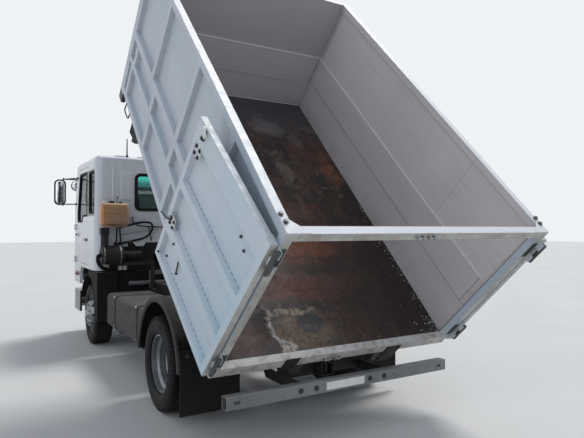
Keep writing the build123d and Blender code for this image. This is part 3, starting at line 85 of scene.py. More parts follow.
# A folded-back tail door: x away from its hinge, y out of its visible face, z up the bed
hingeAt = bedPlace.inverted() @ Vector(jointNamed("tail_door_left_hinge")["pos_m"])
doorSwing = math.radians(270.0 - jointNamed("tail_door_left_hinge")["range_deg"][1])
doorPlace = bedPlace @ Matrix.Translation((hingeAt.x, hingeAt.y, 0)) @ Matrix.Rotation(doorSwing, 4, "Z")


def placed(name, data):
    made = bpy.data.objects.new(name, data)
    bpy.context.scene.collection.objects.link(made)
    return made


# Camera, at the photograph's viewing angle
cameraView = {"behind": 4.728, "left": 2.616, "height": 1.631, "yaw": -31.412, "pitch": 0.957,
              "roll": 0.049, "lens": 33.075, "sensor": 36.0, "reach": 200.0}


def makeCamera():
    look = cameraView
    data = bpy.data.cameras.new("viewCamera")
    data.lens = look["lens"]
    data.sensor_width = look["sensor"]
    data.clip_end = look["reach"]
    camera = placed("viewCamera", data)
    yaw, pitch, roll = (math.radians(look[key]) for key in ("yaw", "pitch", "roll"))
    ahead = Vector((math.cos(yaw) * math.cos(pitch), math.sin(yaw) * math.cos(pitch), math.sin(pitch)))
    turn = ahead.to_track_quat("-Z", "Y").to_matrix().to_4x4() @ Matrix.Rotation(roll, 4, "Z")
    camera.matrix_world = Matrix.Translation(spot(-look["behind"], look["left"], look["height"])) @ turn
    bpy.context.scene.camera = camera


class Coat:
    # a material in the making: its nodes, the point that its patterns read, and its colour so far
    def __init__(self, name, roughness=0.5, metallic=0.0, clear=0.0, shine=0.5, onBed=False):
        self.surface = bpy.data.materials.new(name)
        self.surface.use_nodes = True
        self.tree = self.surface.node_tree
        self.shader = self.tree.nodes["Principled BSDF"]
        self.put("Roughness", roughness)
        self.put("Metallic", metallic)
        self.put("Coat Weight", clear)
        self.put("Specular IOR Level", shine)
        self.point = self.node("TexCoord").outputs["Object"]
        if onBed:
            # object coordinates turned into the bed's own s, y and h
            turned = {"Vector": self.point, "Location": bedCorner, "Rotation": (0, -bedTilt, 0)}
            self.point = self.node("Mapping", turned, vector_type="TEXTURE").outputs[0]
        self.colour = None

    def node(self, kind, inputs=None, **settings):
        made = self.tree.nodes.new("ShaderNode" + kind)
        for key, value in settings.items():
            setattr(made, key, value)
        for socket, value in (inputs or {}).items():
            self.join(value, made.inputs[socket])
        return made

    def join(self, value, socket):
        if isinstance(value, bpy.types.NodeSocket):
            self.tree.links.new(value, socket)
        else:
            socket.default_value = value

    def put(self, socket, value):
        self.join(value, self.shader.inputs[socket])

    def axes(self, point=None):
        return self.node("SeparateXYZ", {0: self.point if point is None else point}).outputs

    def stretched(self, *scale):
        return self.node("Mapping", {"Vector": self.point, "Scale": scale}).outputs[0]

    def noise(self, scale, detail=5.0, rough=0.55, warp=0.0, point=None):
        return self.node("TexNoise", {"Vector": self.point if point is None else point, "Scale": scale,
                                      "Detail": detail, "Roughness": rough, "Distortion": warp}).outputs[0]

    def span(self, value, low, high, toLow=0.0, toHigh=1.0):
        return self.node("MapRange", {0: value, 1: low, 2: high, 3: toLow, 4: toHigh}, clamp=True).outputs[0]

    def cloud(self, scale, detail, low, high, rough=0.55, warp=0.0, to=(0.0, 1.0), point=None):
        # a noise drawn out between two of its levels
        return self.span(self.noise(scale, detail, rough, warp, point), low, high, *to)

    def calc(self, operation, a, b=0.0):
        return self.node("Math", {0: a, 1: b}, operation=operation).outputs[0]

    def times(self, share, *others):
        for other in others:
            share = self.calc("MULTIPLY", share, other)
        return share

    def over(self, value, limit):
        return self.calc("GREATER_THAN", value, limit)

    def under(self, value, limit):
        return self.calc("LESS_THAN", value, limit)

    def between(self, value, low, high):
        return self.times(self.over(value, low), self.under(value, high))

    def inBox(self, low, high):
        # 1 inside a box given by two corners, with Y taken on both sides alike
        x, y, z = self.axes()
        return self.times(self.between(self.calc("ABSOLUTE", y), low[1], high[1]),
                          self.between(x, low[0], high[0]), self.between(z, low[2], high[2]))

    def mixed(self, share, a, b):
        a, b = (c if isinstance(c, bpy.types.NodeSocket) else (*c, 1.0) for c in (a, b))
        return self.node("Mix", {0: share, 6: a, 7: b}, data_type="RGBA").outputs[2]

    def start(self, share, first, second):
        self.colour = self.mixed(share, first, second)

    def lay(self, *rows):
        # each row is a colour and the shares that together say how much of it shows
        for shade, *shares in rows:
            self.colour = self.mixed(self.times(*shares), self.colour, shade)

    def softEdge(self, radius):
        return self.node("Bevel", {"Radius": radius}, samples=4).outputs[0]

    def wear(self, share, reach, shade, scale=30.0):
        # along the edges only, broken up by a noise
        flat = self.node("NewGeometry").outputs["Normal"]
        rounded = {0: self.softEdge(reach), 1: flat}
        near = self.node("VectorMath", rounded, operation="DOT_PRODUCT").outputs["Value"]
        self.lay((shade, self.span(near, 0.995, 0.90), self.cloud(scale, 5.0, 0.44, 0.60, 0.65), share))

    def done(self, gloss, height, strength, distance):
        self.put("Base Color", self.colour)
        self.put("Roughness", gloss)
        bump = self.node("Bump", {"Height": height, "Strength": strength, "Distance": distance,
                                  "Normal": self.softEdge(0.0015)})
        self.put("Normal", bump.outputs[0])
        return self.surface


# Painted finishes. colours: the two broad shades; stain: share, scale, colour; run: share, stretch, colour;
# dust: share, height where it ends, colour; top, on faces that look up: share, colour; wear, on edges: share,
# reach, colour; boxes: low corner and high corner from the ground under the rear axle, colour
downRuns = (9.0, 9.0, 0.8)
blackTrimAndShade = (0.012, 0.012, 0.013)
paintLooks = {
    "cabWhite": {
        "name": "cabPaint", "rough": 0.30, "coat": 0.35, "bump": 0.05,
        "colours": ((0.66, 0.68, 0.71), (0.57, 0.60, 0.64)), "stain": (0.16, 7.0, (0.45, 0.43, 0.40)),
        "run": (0.18, downRuns, (0.55, 0.54, 0.52)), "dust": (0.35, 1.5, (0.42, 0.37, 0.31)),
        "boxes": (((2.800, 1.1285, 1.790), (3.345, 1.140, 2.432), blackTrimAndShade),  # by the side windows
                  ((3.270, 1.1302, 1.425), (3.480, 1.160, 1.495), blackTrimAndShade),  # door handles
                  # the lower back: painted shade, black for the dark engine tunnel opening behind the cab
                  ((2.722, -0.001, 1.000), (2.7315, 0.700, 1.430), blackTrimAndShade),  # lower back
                  ((2.722, 0.699, 1.000), (2.7315, 1.010, 1.375), blackTrimAndShade),
                  ((3.800, 0.700, 0.360), (4.235, 1.125, 0.700), blackTrimAndShade),  # behind the bumper's ends
                  ((2.7585, -0.001, 1.050), (4.316, 1.0925, 2.5875), (0.165, 0.165, 0.17)))},  # lining
    "chassis": {
        "name": "chassisPaint", "rough": 0.62, "shine": 0.25, "bump": 0.35,
        "colours": ((0.010, 0.010, 0.012), (0.020, 0.019, 0.018)), "stain": (0.4, 7.0, (0.040, 0.034, 0.029)),
        "run": (0.3, downRuns, (0.028, 0.025, 0.022)), "dust": (0.45, 1.15, (0.050, 0.044, 0.038)),
        "wear": (0.4, 0.004, (0.11, 0.07, 0.05)), "top": (0.55, (0.075, 0.066, 0.058))},
    "tank": {
        "name": "tankGrey", "rough": 0.62, "shine": 0.30, "bump": 0.2,
        "colours": ((0.025, 0.0245, 0.026), (0.041, 0.039, 0.039)),
        "stain": (0.35, 7.0, (0.085, 0.078, 0.070)),
        "run": (0.35, downRuns, (0.026, 0.025, 0.025)), "dust": (0.40, 1.1, (0.058, 0.053, 0.049)),
        "wear": (0.5, 0.006, (0.17, 0.16, 0.145)), "top": (0.6, (0.135, 0.122, 0.108))},
    "mudguard": {
        "name": "mudguardPlastic", "rough": 0.72, "shine": 0.15, "bump": 0.25,
        "colours": ((0.006, 0.0065, 0.008), (0.013, 0.0125, 0.013)),
        "stain": (0.35, 7.0, (0.030, 0.027, 0.024)),
        "run": (0.3, downRuns, (0.020, 0.018, 0.017)), "dust": (0.35, 1.1, (0.036, 0.032, 0.028)),
        # faces that look up: settled dust, and in part a painted highlight
        "wear": (0.6, 0.004, (0.14, 0.12, 0.10)), "top": (0.85, (0.185, 0.168, 0.148))},
    "bar": {
        "name": "barSteel", "rough": 0.55, "metal": 0.15, "bump": 0.3,
        "colours": ((0.20, 0.205, 0.215), (0.145, 0.145, 0.145)), "stain": (0.6, 16.0, (0.085, 0.080, 0.075)),
        "run": (0.4, (14.0, 1.2, 14.0), (0.10, 0.096, 0.09)), "wear": (0.8, 0.004, (0.42, 0.415, 0.41)),
        "boxes": (((-1.2478, 0.400, 0.340), (-0.600, 0.460, 0.900), (0.014, 0.014, 0.015)),)},  # its arms
    "rim": {
        "name": "rimPaint", "rough": 0.36, "metal": 0.6, "bump": 0.25,
        "colours": ((0.30, 0.31, 0.335), (0.17, 0.174, 0.185)), "stain": (0.6, 20.0, (0.075, 0.064, 0.054)),
        "run": (0.3, downRuns, (0.10, 0.095, 0.088))},
    "spring": {
        "name": "springSteel", "rough": 0.7, "bump": 0.5,
        "colours": ((0.055, 0.048, 0.042), (0.095, 0.07, 0.052)), "stain": (0.6, 7.0, (0.15, 0.10, 0.07)),
        "run": (0.2, downRuns, (0.08, 0.06, 0.05)), "dust": (0.6, 1.0, (0.16, 0.13, 0.10))},
    "plastic": {
        "name": "blackPlastic", "rough": 0.58, "shine": 0.30, "bump": 0.25,
        "colours": ((0.012, 0.012, 0.014), (0.020, 0.020, 0.021)), "stain": (0.3, 7.0, (0.045, 0.043, 0.040)),
        "run": (0.2, downRuns, (0.03, 0.03, 0.03)), "dust": (0.35, 1.6, (0.060, 0.054, 0.048))},
}


def paintFinish(look):
    # a sprayed or brushed coat: broad shade changes, stains, runs, settled dust, worn edges and orange peel
    rough = look["rough"]
    coat = Coat(look["name"], rough, look.get("metal", 0.0), look.get("coat", 0.0), look.get("shine", 0.5))
    coat.start(coat.cloud(1.3, 4.0, 0.35, 0.65), *look["colours"])
    share, scale, shade = look["stain"]
    stain = coat.cloud(scale, 8.0, 0.56, 0.72, 0.62, 0.4)
    coat.lay((shade, stain, share))
    share, stretch, shade = look["run"]
    coat.lay((shade, coat.cloud(1.6, 3.0, 0.55, 0.75, point=coat.stretched(*stretch)), share))
    if "dust" in look:
        share, top, shade = look["dust"]
        patchy = coat.cloud(3.2, 6.0, 0.3, 0.7, to=(0.35, 1.0))
        coat.lay((shade, coat.span(coat.axes()[2], top, 0.25), patchy, share))
    if "top" in look:
        share, shade = look["top"]
        faceUp = coat.axes(coat.node("NewGeometry").outputs["Normal"])[2]
        patchy = coat.cloud(5.0, 7.0, 0.30, 0.65, 0.6, to=(0.45, 1.0))
        coat.lay((shade, coat.span(faceUp, 0.45, 0.90), patchy, share))
    if "wear" in look:
        coat.wear(*look["wear"])
    for low, high, shade in look.get("boxes", ()):
        coat.lay((shade, coat.inBox(spot(*low), spot(*high))))
    gloss = coat.cloud(18.0, 5.0, 0.3, 0.7, to=(rough - 0.08, rough + 0.12))
    return coat.done(gloss, coat.calc("ADD", coat.noise(140.0, 2.0), stain), look["bump"], 0.0012)


# topColour: on the walls a painted highlight on the top rail's upper face; on the doors grey dirt and painted
# shade on the top edge
bedCoats = {
    "bedWall": {"name": "bedWallPaint", "colours": ((0.55, 0.575, 0.625), (0.47, 0.51, 0.565)), "cyan": 0.25,
                "knuckle": 0.026, "edge": (-0.002, 0.0008), "edgeReach": 1.1525,
                "topFrom": 1.476, "topShare": 0.75, "topColour": (0.70, 0.705, 0.72)},
    "bedDoor": {"name": "bedDoorPaint", "colours": ((0.68, 0.70, 0.745), (0.60, 0.645, 0.70)), "cyan": 0.60,
                "knuckle": 0.0185, "edge": (-0.0085, -0.0008), "edgeReach": 1.30,
                "topFrom": 1.3935, "topShare": 0.70, "topColour": (0.40, 0.41, 0.43)},
}


def bedInsideMask(coat, along, up, reach):
    # the walls below the top rail, and the rail's inner face
    wall = bedSize["width"] / 2 - bedSize["frameDepth"]
    railLow = bedSize["height"] - bedSize["topRail"]
    inFront = coat.under(along, bedSize["length"] - 0.0425)
    past = coat.over(along, 0.061)
    inside = coat.times(coat.times(coat.under(reach, wall - 0.002), inFront),
                        coat.times(past, coat.under(up, railLow - 0.001)))
    railFace = coat.times(coat.under(reach, wall + 0.0006),
                          coat.between(up, railLow - 0.0012, bedSize["height"] - 0.001))
    return coat.calc("MAXIMUM", inside, coat.times(railFace, coat.times(past, inFront)))


def bedWallFinish(look):
    # outside white; inside the same coat painted greyer and warmer as painted shade, darker low down, scored
    # along s
    coat = Coat(look["name"], 0.48, onBed=True)
    along, across, up = coat.axes()
    reach = coat.calc("ABSOLUTE", across)
    broad = coat.cloud(0.9, 4.0, 0.35, 0.65)
    score = coat.cloud(2.5, 6.0, 0.50, 0.70, 0.7, point=coat.stretched(0.7, 20.0, 20.0))
    seam = coat.times(coat.between(along, 0.877, 0.881), coat.over(up, 0.79))
    endStep = coat.times(coat.between(along, 0.129, 0.134), coat.between(up, 0.47, 0.79))
    grime = coat.times(coat.span(up, 0.30, 0.09), coat.cloud(4.0, 7.0, 0.35, 0.65))
    # the inside colours: the white coat in painted shade
    coat.start(broad, (0.69, 0.65, 0.655), (0.62, 0.585, 0.59))
    coat.lay(((0.20, 0.205, 0.23), coat.span(along, 3.50, 3.59), 0.62),  # the far wall, in shade
             ((0.50, 0.485, 0.50), coat.span(up, 0.82, 0.76), 0.5),
             ((0.36, 0.345, 0.335), score, 0.30),
             # a painted highlight along the liner's ledge, and painted shade in the crease below it and at
             # the liner's rear step
             ((0.80, 0.78, 0.77), coat.between(up, 0.7835, 0.7905), 0.75),  # ledge
             ((0.22, 0.21, 0.205), coat.between(up, 0.476, 0.481), 0.55),  # crease
             ((0.26, 0.245, 0.235), seam, 0.7),
             ((0.25, 0.24, 0.23), endStep, 0.6),
             ((0.27, 0.25, 0.235), grime, 0.45))
    inner = coat.colour
    # rear faces: traffic dirt, rubbed spots and scuffs over a grey that is partly painted shade
    coat.start(coat.cloud(6.0, 7.0, 0.35, 0.65, 0.6), (0.46, 0.45, 0.43), (0.31, 0.295, 0.275))
    coat.lay(((0.16, 0.145, 0.13), coat.cloud(26.0, 5.0, 0.60, 0.68, 0.7), 0.8),
             ((0.66, 0.66, 0.66), coat.cloud(3.0, 4.0, 0.62, 0.70, point=coat.stretched(8.0, 8.0, 2.0)), 0.8))
    rearDirtAndShade = coat.colour
    # hinge knuckles and straps stay bare dark steel
    steel = coat.mixed(coat.cloud(30.0, 5.0, 0.4, 0.6), (0.030, 0.031, 0.035), (0.085, 0.084, 0.086))
    fromS, fromY = coat.calc("SUBTRACT", along, hingeAt.x), coat.calc("SUBTRACT", reach, hingeAt.y)
    away = coat.calc("SQRT", coat.calc("ADD", coat.times(fromS, fromS), coat.times(fromY, fromY)))
    lowEnd = coat.times(coat.span(along, 1.15, 0.15), coat.cloud(2.2, 4.0, 0.32, 0.62, to=(0.3, 1.0)))
    coat.start(broad, *look["colours"])
    coat.lay(((0.50, 0.69, 0.78), lowEnd, look["cyan"]),
             ((0.44, 0.59, 0.63),
              coat.cloud(1.1, 4.0, 0.52, 0.70, point=coat.stretched(0.9, 6.0, 9.0)), 0.42),
             ((0.50, 0.50, 0.50), coat.cloud(8.0, 8.0, 0.58, 0.74, 0.6, 0.5), 0.25),
             (rearDirtAndShade, coat.times(coat.between(along, *look["edge"]), coat.under(reach, look["edgeReach"]))),
             # top faces: on the walls a painted highlight, on the doors grey dirt and painted shade
             (look["topColour"], coat.over(up, look["topFrom"]),
              coat.cloud(22.0, 6.0, 0.30, 0.55, 0.65, to=(0.6, 1.0)), look["topShare"]),
             (inner, bedInsideMask(coat, along, up, reach)),
             ((0.055, 0.058, 0.066), coat.under(up, -0.022)),  # stubs below the floor
             (steel, coat.under(away, look["knuckle"])))
    coat.wear(0.55, 0.004, (0.30, 0.265, 0.235), 16.0)
    fine = coat.calc("ADD", coat.noise(120.0, 2.0), coat.times(score, 0.6))
    wave = coat.times(coat.noise(2.6, 2.0, 0.4), 14.0)
    return coat.done(coat.cloud(15.0, 5.0, 0.3, 0.7, to=(0.38, 0.58)),
                     coat.calc("ADD", fine, wave), 0.20, 0.0016)


# Stains on the floor: place in s and y, half size, colour, share, and how evenly each covers
floorStains = {
    "palePatch": ((0.25, 0.27), (0.22, 0.30), (0.150, 0.108, 0.076), 0.78, 0.15),
    "darkSpot": ((0.33, 0.19), (0.095, 0.125), (0.018, 0.020, 0.026), 1.0, 0.80),
    "paleStreakLow": ((0.28, 0.56), (0.22, 0.028), (0.40, 0.385, 0.36), 0.85, 0.15),
    "paleStreakFoot": ((0.11, 0.49), (0.07, 0.07), (0.42, 0.40, 0.37), 0.8, 0.15),
    "paleStreakTop": ((0.43, 0.36), (0.025, 0.22), (0.33, 0.28, 0.21), 0.65, 0.15),
    "redPatch": ((1.10, 0.10), (0.16, 0.50), (0.20, 0.070, 0.034), 0.90, 0.15),
    "redPatchMid": ((0.66, 0.30), (0.16, 0.44), (0.125, 0.052, 0.040), 0.8, 0.15),
    "brownMid": ((0.62, -0.22), (0.17, 0.24), (0.066, 0.032, 0.023), 0.7, 0.15),
    "brownNear": ((0.22, -0.14), (0.20, 0.22), (0.050, 0.030, 0.023), 0.7, 0.15),
    "purplePatch": ((0.22, 0.82), (0.22, 0.18), (0.080, 0.046, 0.045), 0.75, 0.15),
    "greyUp": ((3.02, -0.42), (0.15, 0.22), (0.20, 0.195, 0.19), 0.75, 0.45),
    "greyUpTail": ((2.85, -0.72), (0.16, 0.07), (0.14, 0.13, 0.12), 0.6, 0.15),
    "greyMid": ((2.28, -0.34), (0.18, 0.10), (0.17, 0.145, 0.12), 0.75, 0.15),
    "redUp": ((2.30, -0.95), (0.30, 0.09), (0.20, 0.085, 0.045), 0.85, 0.15),
    "redFar": ((1.75, 0.35), (0.45, 0.30), (0.15, 0.050, 0.026), 0.6, 0.15),
    "streakMid": ((1.78, -0.32), (0.36, 0.035), (0.14, 0.10, 0.08), 0.6, 0.15),
    "streakSide": ((1.75, -0.02), (0.25, 0.04), (0.12, 0.075, 0.055), 0.5, 0.15),
}
floorBands = ((0.50, 0.05), (0.84, 0.045), (0.99, 0.03), (1.45, 0.05), (1.92, 0.05), (2.42, 0.05))  # s, width


def bedFloorFinish():
    # bare plate: rust and load stains in the places they hold, a wet dark strip along the right side
    coat = Coat("bedFloorSteel", 0.55, shine=0.28, onBed=True)
    along, _, up = coat.axes()
    blotch = coat.cloud(9.0, 8.0, 0.52, 0.68, 0.68, 0.5)
    coat.start(coat.cloud(2.1, 7.0, 0.42, 0.61, 0.6, 0.8), (0.022, 0.0165, 0.017), (0.074, 0.037, 0.028))
    coat.lay(((0.012, 0.010, 0.011), coat.span(along, 1.7, 0.5), 0.70), ((0.12, 0.062, 0.042), blotch, 0.6))
    # stains and bands read a point that wanders, so that their edges do
    edge = coat.node("TexNoise", {"Vector": coat.point, "Scale": 5.0, "Detail": 6.0, "Roughness": 0.65})
    wander = coat.node("VectorMath", {0: edge.outputs["Color"], 1: (0.5, 0.5, 0.5)}, operation="SUBTRACT")
    push = coat.node("VectorMath", {0: wander.outputs[0], "Scale": 0.30}, operation="SCALE")
    loose = coat.node("VectorMath", {0: coat.point, 1: push.outputs[0]}, operation="ADD").outputs[0]
    for at, size, shade, share, even in floorStains.values():
        place = coat.node("Mapping", {"Vector": loose, "Location": (*at, bedSize["floorTop"]),
                                      "Scale": (*size, 1.0)},
                          vector_type="TEXTURE")
        far = coat.node("VectorMath", {0: place.outputs[0]}, operation="LENGTH").outputs["Value"]
        grain = coat.cloud(24.0, 8.0, 0.38, 0.60, 0.72, to=(even, 1.0))
        coat.lay((shade, coat.times(coat.span(far, 1.25, 0.65), share), grain))
    looseAlong, looseAcross, _ = coat.axes(loose)
    for at, wide in floorBands:
        gap = coat.calc("ABSOLUTE", coat.calc("SUBTRACT", looseAlong, at))
        coat.lay(((0.022, 0.016, 0.015), coat.span(gap, wide, wide * 0.3), 0.6))
    wet = coat.times(coat.span(looseAcross, -0.40, -0.85), coat.span(along, 2.4, 1.2))
    # thin pale rims where puddles have dried
    tide = coat.calc("ABSOLUTE", coat.calc("SUBTRACT", coat.noise(2.3, 3.0, 0.5, 0.5, loose), 0.5))
    rim = coat.times(coat.span(tide, 0.014, 0.003), coat.cloud(1.3, 3.0, 0.46, 0.58),
                     coat.span(along, 1.25, 1.60))
    scratch = coat.cloud(3.0, 3.0, 0.63, 0.70, point=coat.stretched(1.0, 26.0, 1.0))
    coat.lay(((0.020, 0.013, 0.012), wet, 0.85), ((0.060, 0.060, 0.072), coat.span(along, 2.7, 3.3), 0.7),
             ((0.17, 0.150, 0.130), rim, 0.45), ((0.20, 0.16, 0.13), scratch, 0.25))
    plate = coat.colour
    coat.start(coat.cloud(3.0, 5.0, 0.4, 0.6), (0.035, 0.034, 0.034), (0.075, 0.065, 0.056))
    sill = coat.mixed(coat.cloud(12.0, 7.0, 0.45, 0.68), (0.45, 0.44, 0.43), (0.27, 0.25, 0.23))
    coat.lay((plate, coat.over(up, bedSize["floorTop"] - 0.002), coat.over(along, 0.0612)),
             (sill, coat.under(along, 0.0613), coat.over(up, -0.0005)))
    dull = coat.cloud(5.0, 6.0, 0.35, 0.65, to=(0.42, 0.75))
    return coat.done(coat.calc("SUBTRACT", dull, coat.times(wet, 0.22)),
                     coat.calc("ADD", coat.noise(60.0, 6.0, 0.7), coat.times(blotch, 0.8)), 0.35, 0.003)


glassLook = {"colour": (0.17, 0.22, 0.22), "band": (0.30, 0.86, 0.76), "rearX": 2.770, "rearLow": 2.185,
             "frontX": 4.0, "frontRise": (2.36, 2.44), "pale": (2.105, 2.150), "roughness": 0.03}


def glassFinish():
    # tinted, with a green tinted band along the windscreen's top and a little road film; on the rear glass a
    # green band and a pale streak are painted light, for what shows through the cab
    look = glassLook
    coat = Coat("windowGlass", look["roughness"])
    ahead, _, up = coat.axes()
    film = coat.cloud(5.0, 6.0, 0.35, 0.70)
    rearOnly = coat.under(ahead, spot(look["rearX"], 0, 0).x)
    frontOnly = coat.times(coat.over(ahead, spot(look["frontX"], 0, 0).x), coat.span(up, *look["frontRise"]))
    rearBand = coat.times(rearOnly, coat.span(up, look["rearLow"], look["rearLow"] + 0.03))
    coat.start(coat.times(film, 0.35), look["colour"], tuple(c * 0.7 for c in look["colour"]))
    # on the rear glass: a pale streak and the green band, painted light for what shows through the cab
    coat.lay(((0.80, 0.90, 0.88), coat.times(rearOnly, coat.between(up, *look["pale"])), 0.8),
             (look["band"], coat.calc("MAXIMUM", rearBand, frontOnly)))
    coat.put("Base Color", coat.colour)
    coat.put("Transmission Weight", 0.90)
    coat.put("IOR", 1.16)
    coat.put("Roughness", coat.span(film, 0.0, 1.0, look["roughness"], look["roughness"] + 0.08))
    return coat.surface


def rubberFinish(name, colour, dusty):
    coat = Coat(name, 0.72, shine=0.18)
    dust = coat.cloud(7.0, 8.0, 0.42, 0.68, 0.6)
    coat.start(coat.times(dust, dusty), colour, (0.040, 0.036, 0.032))
    coat.lay(((0.060, 0.053, 0.046), coat.span(coat.axes()[2], 0.35, 0.0), 0.45))
    return coat.done(coat.span(dust, 0.0, 1.0, 0.6, 0.85), coat.noise(90.0, 4.0), 0.2, 0.001)


def plainFinish(name, colour, roughness, metallic=0.0, clear=0.0, spread=0.25, grain=60.0):
    # small parts: one colour with a fine shade change, dull spots and grain
    coat = Coat(name, roughness, metallic, clear)
    coat.start(coat.cloud(14.0, 6.0, 0.35, 0.65), colour, tuple(c * (1.0 - spread) for c in colour))
    gloss = coat.cloud(25.0, 4.0, 0.3, 0.7, to=(max(0.02, roughness - 0.06), roughness + 0.10))
    return coat.done(gloss, coat.noise(grain, 3.0), 0.10, 0.0008)


def tankPlasticFinish():
    # blow moulded, deeper where the fluid stands, with faint level bands and sun-bleached ends
    coat = Coat("amberTank", 0.40, 0.0, 0.15)
    _, across, up = coat.axes()
    grime = coat.cloud(14.0, 7.0, 0.52, 0.70, 0.6)
    level = coat.cloud(1.4, 3.0, 0.50, 0.62, point=coat.stretched(0.6, 0.6, 26.0))
    coat.start(coat.span(up, 1.70, 1.93), (0.27, 0.170, 0.125), (0.43, 0.255, 0.130))
    coat.lay(((0.52, 0.235, 0.070), coat.span(across, 0.95, 1.10), 0.75), ((0.56, 0.37, 0.24), level, 0.35),
             ((0.17, 0.125, 0.10), grime, 0.35))
    return coat.done(coat.span(grime, 0.0, 1.0, 0.34, 0.55), coat.noise(40.0, 3.0), 0.10, 0.001)


def clothFinish(name, colour):
    coat = Coat(name, 0.9)
    weave = {"Vector": coat.point, "Scale": 90.0, "Distortion": 0.6, "Detail": 1.0}
    thread = coat.calc("MAXIMUM", coat.node("TexWave", weave).outputs[1],
                       coat.node("TexWave", weave, bands_direction="Z").outputs[1])
    coat.start(coat.cloud(6.0, 5.0, 0.4, 0.7), colour, tuple(min(1.0, c * 1.5 + 0.01) for c in colour))
    coat.lay(((0.02, 0.02, 0.02), thread, 0.35))
    coat.put("Sheen Weight", 0.3)
    return coat.done(0.9, thread, 0.3, 0.0008)


# Small parts' finishes: name, colour, roughness, then metallic, clear coat, spread of shades, grain
plainLooks = {
    "inside": ("cabInside", (0.11, 0.11, 0.115), 0.6, 0.0, 0.0, 0.25, 220.0),
    "steel": ("zincSteel", (0.42, 0.42, 0.41), 0.38, 0.85),
    "boltSteel": ("boltSteel", (0.16, 0.16, 0.165), 0.45, 0.6),
    "darkSteel": ("darkSteel", (0.055, 0.055, 0.055), 0.5, 0.5),
    "chrome": ("hoistChrome", (0.62, 0.63, 0.64), 0.12, 1.0, 0.0, 0.06),
    "hoist": ("hoistPaint", (0.05, 0.05, 0.055), 0.4, 0.1),
    "lampClear": ("lampGlass", (0.72, 0.74, 0.76), 0.12, 0.3, 0.6, 0.08),
    "lampAmber": ("lampAmber", (0.75, 0.27, 0.03), 0.2, 0.0, 0.6, 0.12),
    "lampRed": ("lampRed", (0.22, 0.022, 0.018), 0.32, 0.0, 0.3, 0.15),
    "mirror": ("mirrorGlass", (0.80, 0.82, 0.84), 0.04, 1.0, 0.0, 0.03),
    "plate": ("barePlate", (0.72, 0.72, 0.71), 0.45, 0.0, 0.0, 0.12),
    "weld": ("weldMarks", (0.17, 0.20, 0.27), 0.5, 0.2),
    "bedDoorTrim": ("doorPlatePaint", (0.74, 0.74, 0.73), 0.42, 0.0, 0.0, 0.12),
}
finishes = {}


def makeFinishes():
    finishes.update({key: paintFinish(look) for key, look in paintLooks.items()})
    finishes.update({key: bedWallFinish(look) for key, look in bedCoats.items()})
    finishes.update({key: plainFinish(*look) for key, look in plainLooks.items()})
    finishes["bedFloor"] = bedFloorFinish()
    finishes["tyre"] = rubberFinish("tyreRubber", (0.0065, 0.007, 0.009), 0.35)
    finishes["rubber"] = rubberFinish("sealRubber", (0.009, 0.009, 0.010), 0.2)
    finishes["glass"] = glassFinish()
    finishes["cloth"] = clothFinish("seatCloth", (0.045, 0.047, 0.055))
    finishes["amber"] = tankPlasticFinish()


nodeFinish = {
    "cabWhite": "cab_back_wall cab_side_frames cab_roof cab_front_panel cab_door_left "
                "cab_door_right front_bumper",
    "bedWall": "bed_side_left bed_side_right bed_front_wall bed_crossbar",
    "bedDoor": "tail_door_left tail_door_right",
    "bedFloor": "bed_floor",
    "chassis": "chassis_rails chassis_crossmembers bed_subframe tank_straps battery_box air_tanks "
               "knuckle_left knuckle_right engine_block front_axle_beam rear_axle_housing cab_floor",
    "spring": "leaf_springs propeller_shaft exhaust_muffler",
    "tank": "fuel_tank",
    "mudguard": "rear_mudguards front_mudguards",
    "plastic": "air_cleaner mirrors",
    "bar": "underrun_bar cab_pivots",
    "rim": "front_rim_left front_rim_right rear_rims_left rear_rims_right",
    "glass": "cab_glass door_glass_left door_glass_right",
    "cloth": "seats",
    "inside": "dashboard steering_wheel",
    "amber": "coolant_tank",
    "hoist": "hoist_barrel hoist_stage_1 hoist_stage_2",
    "chrome": "hoist_rod",
    "tyre": "front_tyre_left front_tyre_right rear_tyres_left rear_tyres_right",
}


def paintNodes():
    for finish, nodes in nodeFinish.items():
        for node in nodes.split():
            data = frame["nodes"][node].data
            data.materials.clear()
            data.materials.append(finishes[finish])


# Mesh helpers. Each adds one shape to a bmesh.

def vertsIn(geom):
    return [g for g in geom if isinstance(g, bmesh.types.BMVert)]


def addBlock(bm, low, high, edge=0.0, segments=2):
    low, high = Vector(low), Vector(high)
    verts = bmesh.ops.create_cube(bm, size=1.0)["verts"]
    bmesh.ops.scale(bm, vec=high - low, verts=verts)
    bmesh.ops.translate(bm, vec=(low + high) / 2, verts=verts)
    if edge > 0:
        edges = list({e for v in verts for e in v.link_edges})
        bmesh.ops.bevel(bm, geom=edges, offset=edge, affect="EDGES",
                        segments=segments, profile=0.5, material=-1)


def addRod(bm, start, end, radius, corners=16, endRadius=None):
    start, end = Vector(start), Vector(end)
    along = end - start
    made = bmesh.ops.create_cone(bm, cap_ends=True, segments=corners, radius1=radius,
                                 radius2=radius if endRadius is None else endRadius, depth=along.length)
    turn = along.to_track_quat("Z", "Y").to_matrix().to_4x4()
    bmesh.ops.transform(bm, matrix=Matrix.Translation((start + end) / 2) @ turn, verts=made["verts"])


def addBolt(bm, at, out, across, head, washer=True):
    at, out = Vector(at), Vector(out).normalized()
    if washer:
        addRod(bm, at, at + out * 0.002, across * 0.85, 14)
    addRod(bm, at, at + out * head, across * 0.55, 6)


def addDome(bm, at, out, radius, rise):
    made = bmesh.ops.create_uvsphere(bm, u_segments=16, v_segments=8, radius=radius)
    turn = Vector(out).to_track_quat("Z", "Y").to_matrix().to_4x4()
    flat = Matrix.Diagonal((1, 1, rise / radius, 1))
    bmesh.ops.transform(bm, matrix=Matrix.Translation(at) @ turn @ flat, verts=made["verts"])


